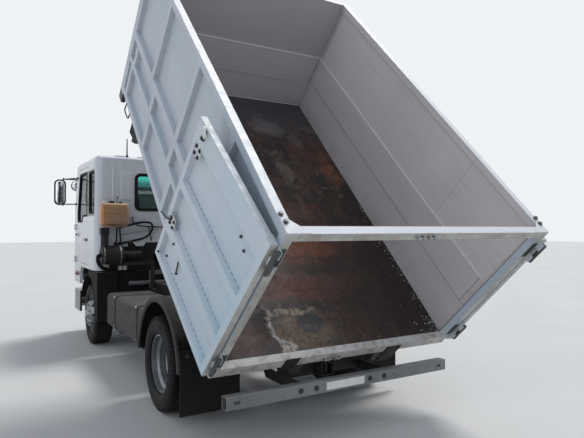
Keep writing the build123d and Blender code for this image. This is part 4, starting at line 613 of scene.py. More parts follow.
def facing(at, out, up=(0, 0, 1)):
    # local z along out and local y along up, set down at a point
    out, up = Vector(out).normalized(), Vector(up).normalized()
    turn = Matrix((up.cross(out), up, out)).transposed().to_4x4()
    return Matrix.Translation(at) @ turn


def rectangle(halfX, halfY):
    return [(-halfX, -halfY), (halfX, -halfY), (halfX, halfY), (-halfX, halfY)]


def addRing(bm, outline, corner, band, rise, place, bow=0.0):
    # a flat ring inside an outline in x and y, its corners rounded, drawn up by rise; band 0 keeps it a plate
    before = set(bm.faces)
    verts = [bm.verts.new((x, y, 0)) for x, y in outline]
    bm.faces.new(verts)
    bmesh.ops.bevel(bm, geom=verts, offset=corner, affect="VERTICES", segments=5, profile=0.5, material=-1)
    faces = [f for f in bm.faces if f not in before]
    if band > 0:
        ring = bmesh.ops.inset_region(bm, faces=faces, thickness=band, use_boundary=True,
                                      use_even_offset=True)["faces"]
        bmesh.ops.delete(bm, geom=[f for f in faces if f.is_valid and f not in ring], context="FACES_ONLY")
        faces = [f for f in ring if f.is_valid]
    made = bmesh.ops.extrude_face_region(bm, geom=faces)["geom"]
    bmesh.ops.translate(bm, vec=(0, 0, rise), verts=vertsIn(made))
    if bow > 0:
        crown = [g for g in made if isinstance(g, bmesh.types.BMFace)]
        for share in (0.25, 0.5, 0.75):
            crown = [f for f in crown if f.is_valid]
            bmesh.ops.inset_region(bm, faces=crown, thickness=bow * 1.2, depth=bow * (1.0 - share) * 0.6,
                                   use_boundary=True, use_even_offset=True)
    moved = list({v for f in bm.faces if f not in before for v in f.verts})
    bmesh.ops.transform(bm, matrix=place, verts=moved)


def addLens(bm, at, out, half, rise, corner):
    addRing(bm, rectangle(*half), corner, 0.0, rise, facing(at, out), 0.008)


def addBezel(bm, at, out, half, rise, corner, band=0.014):
    outline = rectangle(half[0] + band * 0.8, half[1] + band * 0.8)
    addRing(bm, outline, corner + band, band, rise, facing(at, out))


def addPrism(bm, outline, rise, place):
    # an outline in x and y, drawn up by rise
    verts = [bm.verts.new((x, y, 0)) for x, y in outline]
    top = vertsIn(bmesh.ops.extrude_face_region(bm, geom=[bm.faces.new(verts)])["geom"])
    bmesh.ops.translate(bm, vec=(0, 0, rise), verts=top)
    bmesh.ops.transform(bm, matrix=place, verts=verts + top)


def addSpun(bm, profile, steps, place=Matrix()):
    # a closed profile of (along, radius) turned about Y
    before = set(bm.verts)
    verts = [bm.verts.new((0, along, radius)) for along, radius in profile]
    edges = [bm.edges.new(pair) for pair in zip(verts, verts[1:] + verts[:1])]
    bmesh.ops.spin(bm, geom=verts + edges, cent=(0, 0, 0), axis=(0, 1, 0), dvec=(0, 0, 0),
                   angle=math.tau, steps=steps, use_merge=True, use_duplicate=False)
    bmesh.ops.transform(bm, matrix=place, verts=[v for v in bm.verts if v not in before])


def addBeads(bm, start, end, pitch, size):
    # a row of weld beads, each as long, deep and wide as size says
    start, end = Vector(start), Vector(end)
    count = int((end - start).length / pitch)
    shape = (end - start).to_track_quat("X", "Z").to_matrix().to_4x4() @ Matrix.Diagonal((*size, 1))
    for i in range(count + 1):
        made = bmesh.ops.create_icosphere(bm, subdivisions=1, radius=0.5)
        at = Matrix.Translation(start.lerp(end, i / count))
        bmesh.ops.transform(bm, matrix=at @ shape, verts=made["verts"])


def around(count, radius, shift=0.0, flat=False):
    # points evenly round a circle, in x and z, or in x and y where it lies flat
    turns = [math.tau * (i + shift) / count for i in range(count)]
    return [Vector((math.cos(t), math.sin(t), 0) if flat else (math.cos(t), 0, math.sin(t))) * radius
            for t in turns]


def addRibs(bm, at, count, radius, tall, thick):
    # upright grip ribs round a cap
    for rib in around(count, radius, flat=True):
        low = Vector(at) + rib + Vector((0, 0, 0.004))
        addRod(bm, low, low + Vector((0, 0, tall)), thick, 6)


def handOver(name, mesh, body, finish):
    mesh.materials.clear()
    mesh.materials.append(finishes[finish])
    piece = placed(name, mesh)
    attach(piece, body)
    return piece


def finishPiece(name, bm, body, slotName, finish, smoothAngle=35.0, merge=0.0):
    if merge > 0:
        bmesh.ops.remove_doubles(bm, verts=bm.verts, dist=merge)
    bmesh.ops.recalc_face_normals(bm, faces=bm.faces)
    if bm.calc_volume(signed=True) < 0:
        bmesh.ops.reverse_faces(bm, faces=bm.faces)
    mesh = bpy.data.meshes.new(name)
    bm.to_mesh(mesh)
    bm.free()
    mesh.shade_smooth()
    mesh.set_sharp_from_angle(angle=math.radians(smoothAngle))
    return handOver(name, mesh, body, finish)


def makePiece(name, body, slotName, finish, rows, places=(groundPlace,), **more):
    # each row is a helper and its values, and all of them are set down at each place
    bm = bmesh.new()
    for place in places:
        before = set(bm.verts)
        for helper, *values in rows:
            helper(bm, *values)
        bmesh.ops.transform(bm, matrix=place, verts=[v for v in bm.verts if v not in before])
    return finishPiece(name, bm, body, slotName, finish, **more)


def addPipe(name, body, finish, runs, radius, place=groundPlace):
    # smooth lines through their points, one spline each, in one piece
    curve = bpy.data.curves.new(name, "CURVE")
    curve.dimensions = "3D"
    curve.bevel_depth = radius
    curve.bevel_resolution = 4
    curve.resolution_u = 8
    curve.use_fill_caps = True
    for points in runs:
        spline = curve.splines.new("NURBS")
        spline.points.add(len(points) - 1)
        for control, point in zip(spline.points, points):
            control.co = (*(place @ Vector(point)), 1.0)
        spline.use_endpoint_u = True
        spline.order_u = 3
    maker = bpy.data.objects.new(name + "Line", curve)
    mesh = bpy.data.meshes.new_from_object(maker)
    bpy.data.objects.remove(maker)
    mesh.name = name
    mesh.shade_smooth()
    return handOver(name, mesh, body, finish)


# Tyres: ribbed tread with cut shoulder lugs, stepped sidewall, bead. half is from the middle to the sidewall.
tyreLook = {"steps": 132, "lugEvery": 2, "lugDepth": 0.009, "grooveDepth": 0.011, "half": 0.1225,
            "grooves": (-0.062, -0.021, 0.021, 0.062), "grooveWidth": 0.010, "tread": 0.104, "wall": 0.122,
            "bead": 0.248, "flange": 0.263}


def wheelCentres(sign, side):
    # the middles of the front tyre, of the outer rear tyre and of the inner one
    low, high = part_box("front_tyre_" + side)
    front = Vector(((low.x + high.x) / 2, (low.y + high.y) / 2, wheelR))
    low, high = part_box("rear_tyres_" + side)
    outer, inner = (high.y, low.y) if sign > 0 else (low.y, high.y)
    half = sign * tyreLook["half"]
    return front, Vector((rearAxleX, outer - half, wheelR)), Vector((rearAxleX, inner + half, wheelR))


def tyreProfile():
    look = tyreLook
    tread, wall, bead, flange = look["tread"], look["wall"], look["bead"], look["flange"]
    half, deep = look["grooveWidth"] / 2, wheelR - look["grooveDepth"]
    outline = [(-tread, wheelR - 0.004), (-tread + 0.012, wheelR)]
    for at in look["grooves"]:
        outline += [(at - half, wheelR), (at - half * 0.7, deep),
                    (at + half * 0.7, deep), (at + half, wheelR)]
    side = [(tread, wheelR - 0.004), (0.113, wheelR - 0.018), (0.116, wheelR - 0.034),
            (0.1135, wheelR - 0.038), (0.1195, wheelR - 0.062), (wall, 0.336), (0.1205, 0.315),
            (0.1225, 0.312), (0.1215, 0.306), (0.1150, 0.284), (0.1080, 0.272), (0.1105, 0.269),
            (0.1070, flange), (0.0880, flange - 0.003), (0.0870, bead + 0.004)]
    outline += [(tread - 0.012, wheelR), *side, (0.05, bead + 0.012), (-0.05, bead + 0.012)]
    return outline + [(-a, r) for a, r in reversed(side)][:-1]


def cutLugs(bm):
    # every other cell of the shoulder is pressed in, walls and all
    look = tyreLook
    step = math.tau / look["steps"]
    cells = []
    for face in bm.faces:
        mid = face.calc_center_median()
        if abs(mid.y) < 0.070 or math.hypot(mid.x, mid.z) < wheelR - 0.030:
            continue
        if int((math.atan2(mid.z, mid.x) % math.tau) / step + 0.001) % look["lugEvery"] == 0:
            cells.append(face)
    moved = vertsIn(bmesh.ops.extrude_face_region(bm, geom=cells)["geom"])
    bmesh.ops.delete(bm, geom=cells, context="FACES")
    for vert in moved:
        radius = math.hypot(vert.co.x, vert.co.z)
        share = (radius - look["lugDepth"]) / radius
        vert.co.x *= share
        vert.co.z *= share
        vert.co.y -= math.copysign(0.004, vert.co.y) if abs(vert.co.y) > 0.09 else 0.0


def makeTyre(name, body, node, centres):
    bm = bmesh.new()
    addSpun(bm, tyreProfile(), tyreLook["steps"])
    cutLugs(bm)
    for centre in centres[1:]:
        copy = bmesh.ops.duplicate(bm, geom=[*bm.verts, *bm.edges, *bm.faces])
        bmesh.ops.translate(bm, vec=centre - centres[0], verts=vertsIn(copy["geom"]))
    bmesh.ops.translate(bm, vec=centres[0], verts=bm.verts)
    piece = finishPiece(name, bm, body, "tyre_rubber", "tyre", 28.0)
    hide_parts(node)


def makeTyres():
    for sign, side, title in sides:
        front, *rear = wheelCentres(sign, side)
        makeTyre("tyreFront" + title, "front_wheel_" + side, "front_tyre_" + side, [front])
        makeTyre("tyresRear" + title, "rear_wheels_" + side, "rear_tyres_" + side, rear)
    print("tyres made")


# Wheel nuts, hub caps and their bolts, with y outward from the tyre's middle
wheelNuts = {"count": 8, "pitchR": 0.135, "across": 0.030, "height": 0.022,
             "frontY": 0.1375, "rearY": -0.1255}
hubBolts = {"front": (6, 0.050, 0.1635, 0.014, 0.009), "rear": (8, 0.058, -0.0155, 0.016, 0.010)}


def nutRing(y):
    look = wheelNuts
    steps = ((0.004, 0.75, 16), (look["height"], 0.55, 6), (look["height"] + 0.008, 0.28, 10))
    return [(addRod, at, at + Vector((0, reach, 0)), look["across"] * share, corners)
            for at in (spoke + Vector((0, y, 0)) for spoke in around(look["count"], look["pitchR"], 0.5))
            for reach, share, corners in steps]


def hubBoltRing(count, radius, y, across, head):
    return [(addBolt, spoke + Vector((0, y, 0)), (0, 1, 0), across, head, False)
            for spoke in around(count, radius)]


def makeWheelFittings():
    for sign, side, title in sides:
        front, rear, _ = wheelCentres(sign, side)
        outward = Matrix.Diagonal((1, sign, 1, 1))
        makePiece("hubFront" + title, "front_wheel_" + side, "rim_silver", "steel",
                  [*nutRing(wheelNuts["frontY"]), (addRod, (0, 0.150, 0), (0, 0.166, 0), 0.060, 24, 0.057),
                   *hubBoltRing(*hubBolts["front"])], (Matrix.Translation(front) @ outward,))
        makePiece("hubRear" + title, "rear_wheels_" + side, "rim_silver", "steel",
                  [*nutRing(wheelNuts["rearY"]), (addRod, (0, -0.0275, 0), (0, -0.0155, 0), 0.074, 28, 0.070),
                   (addRod, (0, -0.0175, 0), (0, 0.0065, 0), 0.040, 24, 0.034),
                   *hubBoltRing(*hubBolts["rear"])], (Matrix.Translation(rear) @ outward,))
    print("wheel fittings made")


# Bed fittings. On the doors d is away from the hinge, and face is how far the frame stands out.
weldRows = {"rows": ((1.09, 0.8735), (1.09, 0.4655), (1.00, 0.1165)), "from": 0.11, "out": -0.0080,
            "pitch": 0.050, "size": (0.036, 0.0022, 0.008)}
doorFit = {"face": 0.033, "sheet": -0.008, "plates": ((1.070, 1.190), (1.077, 0.510)), "spread": 0.028,
           "onFace": ((0.950, 0.401), (1.125, 0.124)),
           "onSheet": ((1.051, 0.150), (0.255, 1.10), (0.335, 1.14)),
           "ring": (0.91, 0.002, 0.333), "ringR": 0.018, "ringSteps": 14}
postFit = {"hinges": (0.215, 1.280), "screws": (-0.05, 0.0, 0.05), "corner": ((0.146, 1.134), (0.086, 1.126)),
           "keepersY": (0.162, 0.065), "keepersH": (1.450, 0.035)}


def doorBoltRows():
    look, out = doorFit, (0, 1, 0)
    face, spread = look["face"], look["spread"]
    return ([(addBolt, (d - 0.008 + dd * spread, face + 0.005, h + dh * spread), out, 0.020, 0.010)
             for d, h in look["plates"] for dd in (-1, 1) for dh in (-1, 1)]
            + [(addBolt, (d, face, h), out, 0.014, 0.012) for d, h in look["onFace"]]
            + [(addBolt, (d, look["sheet"], h), out, 0.014, 0.012) for d, h in look["onSheet"]])


def doorPlateRows():
    face = doorFit["face"]
    return [*[(addBlock, (d - 0.055, face - 0.001, h - 0.050), (d + 0.038, face + 0.005, h + 0.050), 0.003)
              for d, h in doorFit["plates"]],
            (addRod, (1.060, face + 0.024, 1.392), (0.985, face + 0.030, 1.362), 0.012, 12),
            (addRod, (1.055, face - 0.002, 1.386), (1.055, face + 0.030, 1.386), 0.015, 12)]


def doorLeverRows():
    face = doorFit["face"]
    loop = [Vector(doorFit["ring"]) + p for p in around(doorFit["ringSteps"], doorFit["ringR"])]
    return [(addBlock, (1.030, face - 0.001, 1.300), (1.062, face + 0.014, 1.372), 0.003),
            (addBolt, (1.046, face + 0.014, 1.315), (0, 1, 0), 0.020, 0.010),
            *[(addRod, a, b, 0.0045, 8) for a, b in zip(loop, loop[1:] + loop[:1])],
            (addRod, (0.874, 0.004, 0.406), (0.831, 0.004, 0.193), 0.0055, 10),
            (addRod, (0.831, -0.008, 0.193), (0.831, 0.010, 0.193), 0.008, 10)]


def keeperRows():
    # a pair of forked catches for the door rods
    rows = []
    for y in postFit["keepersY"]:
        for h in postFit["keepersH"]:
            rows.append((addBlock, (-0.006, y - 0.035, h - 0.014), (0.0005, y + 0.035, h + 0.014), 0.002))
            rows += [(addBlock, (-0.026, y + dy - 0.004, h - 0.012),
                      (-0.004, y + dy + 0.004, h + 0.012), 0.0015)
                     for dy in (-0.022, 0.022)]
            rows.append((addRod, (-0.018, y - 0.030, h), (-0.018, y + 0.030, h), 0.005, 10))
    return rows


def makeBedFittings():
    weld, face, top = weldRows, doorFit["face"], bedSize["height"] + 0.0063
    welds = [(addBeads, (weld["from"], weld["out"], h), (d, weld["out"], h), weld["pitch"], weld["size"])
             for d, h in weld["rows"]]
    # thin hinge plates with flat screws on the rear posts, inside the 5 mm behind a shut door
    hinges = [(addBlock, (-0.0028, 1.098, h - 0.075), (0.0005, 1.150, h + 0.075), 0.0010)
              for h in postFit["hinges"]]
    hinges += [(addRod, (-0.0020, 1.122, h + dh), (-0.0042, 1.122, h + dh), 0.009, 18, 0.0075)
               for h in postFit["hinges"] for dh in postFit["screws"]]
    corners = [(addBolt, (s, y, top), (0, 0, 1), 0.024, 0.016) for s, y in postFit["corner"]]
    for sign, side, title in sides:
        for name, finish, rows in (("doorWeldMarks", "weld", welds),
                                   ("doorBolts", "darkSteel", doorBoltRows()),
                                   ("doorLever", "darkSteel", doorLeverRows()),
                                   ("doorPlates", "bedDoorTrim", doorPlateRows())):
            makePiece(name + title, "tail_door_" + side, "bed_paint", finish, rows,
                      (onSide(doorPlace, sign),))
        makePiece("hingePlates" + title, "bed", "bed_paint", "darkSteel", hinges, (onSide(bedPlace, sign),))
        makePiece("cornerBolts" + title, "bed", "bed_paint", "boltSteel", corners, (onSide(bedPlace, sign),))
    # the left door's locking rod, which laps over the right door when both are shut
    makePiece("doorReachRod", "tail_door_left", "bed_paint", "darkSteel",
              [(addRod, (1.085, face + 0.014, 0.522), (1.165, face + 0.016, 0.470), 0.008, 10),
               (addRod, (1.165, face + 0.016, 0.470), (1.245, face + 0.020, 0.452), 0.007, 10)], (doorPlace,))
    makePiece("doorKeepers", "bed", "bed_paint", "steel", keeperRows(), (bedPlace,))
    print("bed fittings made")


flecks = {"count": 170, "seed": 7, "floorEdge": -1.098}


def addFlecks(bm):
    # small pale stones and flakes left along the right edge of the floor
    rng = random.Random(flecks["seed"])
    for _ in range(flecks["count"]):
        s = 0.07 + (abs(rng.gauss(0, 0.10)) if rng.random() < 0.35 else rng.uniform(0.0, 1.7))
        y = flecks["floorEdge"] + abs(rng.gauss(0, 0.035 if rng.random() < 0.55 else 0.11))
        size = rng.uniform(0.0020, 0.0062) * (0.6 + 0.4 * rng.random())
        made = bmesh.ops.create_icosphere(bm, subdivisions=1, radius=size)
        for vert in made["verts"]:
            vert.co *= rng.uniform(0.7, 1.25)
        flat = Matrix.Diagonal((rng.uniform(0.8, 1.6), rng.uniform(0.6, 1.2), 0.5, 1))
        turn = Matrix.Rotation(rng.uniform(0, math.tau), 4, "Z")
        at = Matrix.Translation((s, y, bedSize["floorTop"] + size * 0.3))
        bmesh.ops.transform(bm, matrix=at @ turn @ flat, verts=made["verts"])


def makeFloorDetails():
    inner = bedSize["width"] / 2 - bedSize["frameDepth"] - bedSize["skin"]
    floor = bedSize["floorTop"]
    makePiece("floorFlecks", "bed", "bed_floor_steel", "plate", [(addFlecks,)], (bedPlace,), smoothAngle=20.0)
    bead = (0.018, (0.0198, 0.009, 0.009))
    rows = [(addBeads, (s0, sign * (inner - gap), h0), (s1, sign * (inner - gap), h1), *bead)
            for sign in (1, -1)
            for s0, s1, h0, h1, gap in ((0.070, 3.590, floor + 0.001, floor + 0.001, 0.001),
                                        (0.0605, 0.0605, floor, 1.400, 0.010))]
    makePiece("floorBeads", "bed", "bed_floor_steel", "darkSteel", rows, (bedPlace,), smoothAngle=60.0)
    print("floor details made")


# Underrun bar, from the middle of its rear face
barLook = {"tall": 0.089, "boltsY": (0.458, 0.318, -0.205, -0.355), "holeY": -0.46,
           "label": (-0.145, 0.225, 0.030),
           "marks": (0.961, 1.009, 0.011)}


def makeBarFittings():
    low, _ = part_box("underrun_bar")
    place = Matrix.Translation((low.x, 0, low.z + barLook["tall"] / 2))
    hole = barLook["holeY"]
    bolts = [(addBolt, (0, y, 0), (-1, 0, 0), 0.026, 0.014) for y in barLook["boltsY"]]
    makePiece("barBolts", "chassis", "bar_grey", "darkSteel",
              [*bolts, (addRod, (0.004, hole, 0), (-0.001, hole, 0), 0.008, 14)], (place,))
    y0, y1, half = barLook["label"]
    makePiece("barLabelPlate", "chassis", "bar_grey", "plate",
              [(addBlock, (-0.0015, y0, -half), (0.001, y1, half), 0.001, 1)], (place,))
    y0, y1, half = barLook["marks"]
    makePiece("barMarks", "chassis", "bar_grey", "darkSteel",
              [(addBlock, (-0.002, y0, -half), (0.001, y1, half), 0.001, 1)], (place, flipY @ place))
    print("bar fittings made")


def spreadOut(points, by):
    # an outline moved outward by a set distance, its corners kept sharp
    area = sum(a[0] * b[1] - b[0] * a[1] for a, b in zip(points, points[1:] + points[:1]))
    sign = 1 if area > 0 else -1
    moved = []
    for i, (x, y) in enumerate(points):
        before, after = Vector(points[i - 1]), Vector(points[(i + 1) % len(points)])
        here = Vector((x, y))
        a, b = (here - before).normalized(), (after - here).normalized()
        outA, outB = Vector((a.y, -a.x)) * sign, Vector((b.y, -b.x)) * sign
        middle = (outA + outB).normalized()
        moved.append(tuple(here + middle * (by / max(0.3, middle.dot(outA)))))
    return moved


sealLook = {"rearAt": (2.7315, 0, 2.125), "rearHalf": (0.613, 0.263), "rearCorner": 0.085, "rearBand": 0.044,
            "sideY": 1.1125, "sideOut": 0.010, "sideBand": 0.030, "sideRise": 0.021,
            "door": [(3.300, 1.800), (3.300, 2.420), (3.830, 2.420), (4.010, 1.860), (4.000, 1.720),
                     (3.640, 1.720), (3.600, 1.800)],
            "quarter": [(2.820, 1.830), (2.820, 2.400), (3.145, 2.400), (3.145, 1.830)]}


def makeSeals():
    look = sealLook

    def sideSeal(key, corner, sign):
        outline = [(-sign * x, z) for x, z in spreadOut(look[key], look["sideOut"])]
        return (addRing, outline, corner, look["sideBand"], look["sideRise"],
                facing((0, sign * look["sideY"], 0), (0, sign, 0)))

    makePiece("cabWindowSeals", "cab", "black_plastic", "rubber",
              [(addRing, rectangle(*look["rearHalf"]), look["rearCorner"], look["rearBand"], 0.010,
                facing(look["rearAt"], (-1, 0, 0))),
               sideSeal("quarter", 0.030, 1), sideSeal("quarter", 0.030, -1)])
    for sign, side, title in sides:
        makePiece("doorWindowSeal" + title, "cab_door_" + side, "black_plastic", "rubber",
                  [sideSeal("door", 0.026, sign)])
    print("window seals made")


screenLook = {"low": (4.298, 0, 1.790), "high": (4.036, 0, 2.566), "blade": 0.504, "feet": (-0.62, 0.06),
              "washers": (-0.30, 0.34),
              "seal": [(-1.040, 0.010), (1.040, 0.010), (1.030, 0.790), (-1.030, 0.790)]}


def makeWipers():
    look = screenLook
    low = Vector(look["low"])
    up = (Vector(look["high"]) - low).normalized()
    out = Vector((up.z, 0, -up.x))
    rows = []
    for foot in look["feet"]:
        rows += [(addRod, (foot, -0.030, -0.004), (foot, -0.030, 0.030), 0.017, 16),
                 (addRod, (foot, -0.030, 0.024), (foot + 0.30, 0.030, 0.026), 0.007, 8),
                 (addBlock, (foot + 0.02, 0.026, 0.008), (foot + look["blade"], 0.040, 0.019), 0.003),
                 (addBlock, (foot + 0.26, 0.022, 0.016), (foot + 0.34, 0.044, 0.031), 0.004)]
    rows += [(addBlock, (y - 0.012, -0.060, -0.004), (y + 0.012, -0.040, 0.016), 0.004)
             for y in look["washers"]]
    makePiece("wipers", "cab", "black_plastic", "rubber", rows, (groundPlace @ facing(low, out, up),))
    makePiece("screenSeal", "cab", "black_plastic", "rubber",
              [(addRing, look["seal"], 0.05, 0.030, 0.006, facing(low + out * 0.0005, out, up))])
    print("wipers made")


lampLook = {"head": (4.429, 0.790, 0.545), "headHalf": (0.155, 0.068), "fog": (4.429, 0.560, 0.545),
            "fogR": 0.046, "turn": (4.3495, 0.800, 1.085), "turnHalf": (0.115, 0.060),
            "plate": (4.430, 0, 0.530), "plateHalf": (0.270, 0.058), "sideY": 1.1295,
            "sideIndicator": (4.000, 1.533, (0.095, 0.033)), "sideMarker": (3.990, 0.941, (0.090, 0.031)),
            "grille": ((4.3365, -0.612, 0.968), (4.3396, 0.612, 1.202)), "grilleBars": 30,
            "boltsAt": ((0.42, 0.62), (0.42, 0.44), (0.99, 0.44))}


def makeLamps():
    look, ahead = lampLook, (1, 0, 0)
    lowBumper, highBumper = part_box("front_bumper")
    fog, fogR, step = Vector(look["fog"]), look["fogR"], Vector((0.001, 0, 0))
    makePiece("headlamps", "chassis", "bumper_white", "lampClear",
              [(addLens, look["head"], ahead, look["headHalf"], 0.012, 0.030),
               (addRod, fog, fog + 10 * step, fogR, 28),
               (addDome, fog + 10 * step, ahead, fogR, 0.010)], bothGround)
    makePiece("lampBezels", "chassis", "black_plastic", "darkSteel",
              [(addBezel, look["head"], ahead, look["headHalf"], 0.018, 0.030),
               (addRod, fog - step, fog + 6 * step, fogR + 0.012, 28)], bothGround)
    makePiece("frontIndicators", "cab", "amber_plastic", "lampAmber",
              [(addLens, look["turn"], ahead, look["turnHalf"], 0.014, 0.025)], bothGround)
    x, y, z = look["turn"]
    rows = [(addBezel, (x, sign * y, z), ahead, look["turnHalf"], 0.012, 0.025) for sign in (1, -1)]
    rows.append((addBlock, *look["grille"]))
    for i in range(look["grilleBars"]):
        y = -0.60 + 1.2 * i / (look["grilleBars"] - 1)
        rows.append((addBlock, (4.339, y - 0.003, 0.972), (4.345, y + 0.003, 1.198)))
    makePiece("grilleBack", "cab", "black_plastic", "plastic", rows)
    front, _, plateZ = look["plate"]
    makePiece("frontBlankPlate", "chassis", "bumper_white", "plate",
              [(addRing, rectangle(*look["plateHalf"]), 0.010, 0.0, 0.004, facing(look["plate"], ahead))])
    makePiece("bumperBolts", "chassis", "bumper_white", "steel",
              [(addBolt, (front + 0.003, 0.22, plateZ), ahead, 0.012, 0.006),
               *[(addBolt, (front - 0.001, y, z), ahead, 0.018, 0.009) for y, z in look["boltsAt"]]],
              bothGround)
    for sign, side, title in sides:
        for name, finish in (("sideIndicator", "lampClear"), ("sideMarker", "lampRed")):
            x, z, half = look[name]
            makePiece(name + title, "cab_door_" + side, "amber_plastic", finish,
                      [(addLens, (x, sign * look["sideY"], z), (0, sign, 0), half, 0.012, 0.018)])
    print("lamps and plates made, bumper", round(highBumper.z - lowBumper.z, 3), "m tall")


mirrorLook = {"tall": (4.2755, 1.347, 2.185), "half": (0.068, 0.180), "corner": 0.052, "rim": 0.008,
              "round": (4.3955, 1.085, 2.300), "roundR": 0.076, "arms": (2.10, 2.27), "armY": 1.288}


def makeMirrorGlass():
    look, back = mirrorLook, (-1, 0, 0)
    place, small, rim = facing(look["tall"], back), Vector(look["round"]), look["rim"]
    smallFace = small - Vector((0.003, 0, 0))
    makePiece("mirrorGlasses", "cab", "glass", "mirror",
              [(addRing, rectangle(*look["half"]), look["corner"], 0.0, 0.003, place, 0.006),
               (addRod, small, smallFace, look["roundR"], 36),
               (addDome, smallFace, back, look["roundR"], 0.012)],
              bothGround)
    makePiece("mirrorRims", "cab", "black_plastic", "rubber",
              [(addRing, rectangle(*[half + rim for half in look["half"]]),
                look["corner"] + rim, 0.010, 0.006, place),
               *[(addRod, (4.290, look["armY"], z), (4.334, look["armY"], z), 0.016, 14)
                 for z in look["arms"]]],
              bothGround)
    print("mirror glasses made")


# Pipes of the cab's back and of the air cleaner's drum, as points from the ground under the rear axle
backPipes = {
    "backHose": ("cab", "rubber", 0.015, [
        [(2.640, 0.860, 1.650), (2.650, 0.815, 1.634), (2.660, 0.700, 1.668), (2.660, 0.520, 1.716),
         (2.660, 0.370, 1.700), (2.660, 0.395, 1.560), (2.660, 0.500, 1.485), (2.660, 0.660, 1.452),
         (2.668, 0.800, 1.418), (2.690, 0.845, 1.408), (2.738, 0.870, 1.402)]]),
    "backThinPipe": ("cab", "steel", 0.006, [
        [(2.738, 0.775, 1.540), (2.690, 0.755, 1.546), (2.682, 0.700, 1.556), (2.680, 0.558, 1.582),
         (2.682, 0.340, 1.612), (2.695, 0.292, 1.620), (2.738, 0.275, 1.623)]]),
    "backUprightHoses": ("cab", "rubber", 0.011, [
        [(2.620, 0.873, 1.652), (2.620, 0.874, 1.550), (2.626, 0.880, 1.440), (2.690, 0.884, 1.420),
         (2.740, 0.886, 1.418)],
        [(2.620, 0.833, 1.652), (2.618, 0.834, 1.560), (2.624, 0.822, 1.450), (2.690, 0.818, 1.432),
         (2.740, 0.816, 1.430)]]),
    "backLoom": ("cab", "rubber", 0.0075, [
        [(2.738, 0.640, 1.780), (2.712, 0.640, 1.775), (2.710, 0.636, 1.700), (2.711, 0.560, 1.655),
         (2.711, 0.200, 1.640), (2.711, -0.400, 1.648), (2.711, -0.700, 1.640), (2.712, -0.760, 1.600),
         (2.712, -0.765, 1.300), (2.738, -0.768, 1.260)],
        [(2.738, 0.420, 1.660), (2.708, 0.420, 1.650), (2.706, 0.416, 1.600), (2.708, 0.380, 1.480),
         (2.738, 0.372, 1.450)]]),
    "drumElbow": ("chassis", "rubber", 0.026, [
        [(2.600, 1.060, 1.275), (2.590, 1.105, 1.272), (2.570, 1.128, 1.245), (2.556, 1.125, 1.180),
         (2.560, 1.090, 1.120), (2.590, 1.020, 1.085), (2.660, 0.960, 1.070)]]),
}
cabBack = {"face": 2.7315, "clips": ((0.300, 1.620), (0.560, 1.582), (-0.100, 1.644), (-0.500, 1.646)),
           "clamped": (7, 1), "bracket": [(-0.649, 1.443), (-0.453, 1.443), (-0.495, 1.379), (-0.593, 1.379)],
           "tabs": ((0.728, 0.770), (0.790, 0.829)), "latches": (0.98, -0.98)}
tankFit = {"x": 2.590, "top": 1.952, "white": 1.045, "stick": 0.885,
           "caps": ((0.950, 0.030, 0.034), (0.835, 0.018, 0.028)),
           "seam": [(2.487, 0.739), (2.693, 0.739), (2.693, 1.105), (2.487, 1.105)], "seamZ": 1.808,
           "levelsY": (0.850, 1.000), "levelsZ": ((1.690, 1.795), (1.825, 1.925))}
drumFit = {"at": (2.600, 1.270), "clampsY": (0.845, 1.055),
           "clamp": [(-0.007, 0.1262), (0.007, 0.1262), (0.007, 0.1285), (-0.007, 0.1285)]}
aerial = {"foot": (2.800, 0.700, 2.610), "base": 0.030, "tall": 0.255}


def makeCoolantFittings():
    look = tankFit
    up = Vector((0, 0, 0.001))
    white, stick = (Vector((look["x"], look[key], look["top"])) for key in ("white", "stick"))
    makePiece("coolantWhiteCap", "cab", "amber_plastic", "plate",
              [(addRod, white, white + 26 * up, 0.026, 24, 0.024),
               (addRod, white + 26 * up, white + 34 * up, 0.018, 20)])
    rows = []
    for y, radius, tall in look["caps"]:
        at = Vector((look["x"], y, look["top"]))
        rows += [(addRod, at, at + Vector((0, 0, tall)), radius, 24, radius * 0.94),
                 (addRibs, at, 10, radius * 0.97, tall - 0.008, 0.0028)]
    tip = stick + Vector((0, -0.010, 0.088))
    rows += [(addRod, stick, tip, 0.0045, 10), (addRod, tip - 8 * up, tip + 8 * up, 0.009, 14)]
    makePiece("coolantCaps", "cab", "amber_plastic", "rubber", rows)
    makePiece("coolantSeam", "cab", "amber_plastic", "amber",
              [(addRing, look["seam"], 0.038, 0.010, 0.006, Matrix.Translation((0, 0, look["seamZ"]))),
               *[(addBlock, (2.4875, y - 0.006, z0), (2.4915, y + 0.006, z1), 0.0015)
                 for y in look["levelsY"] for z0, z1 in look["levelsZ"]]])


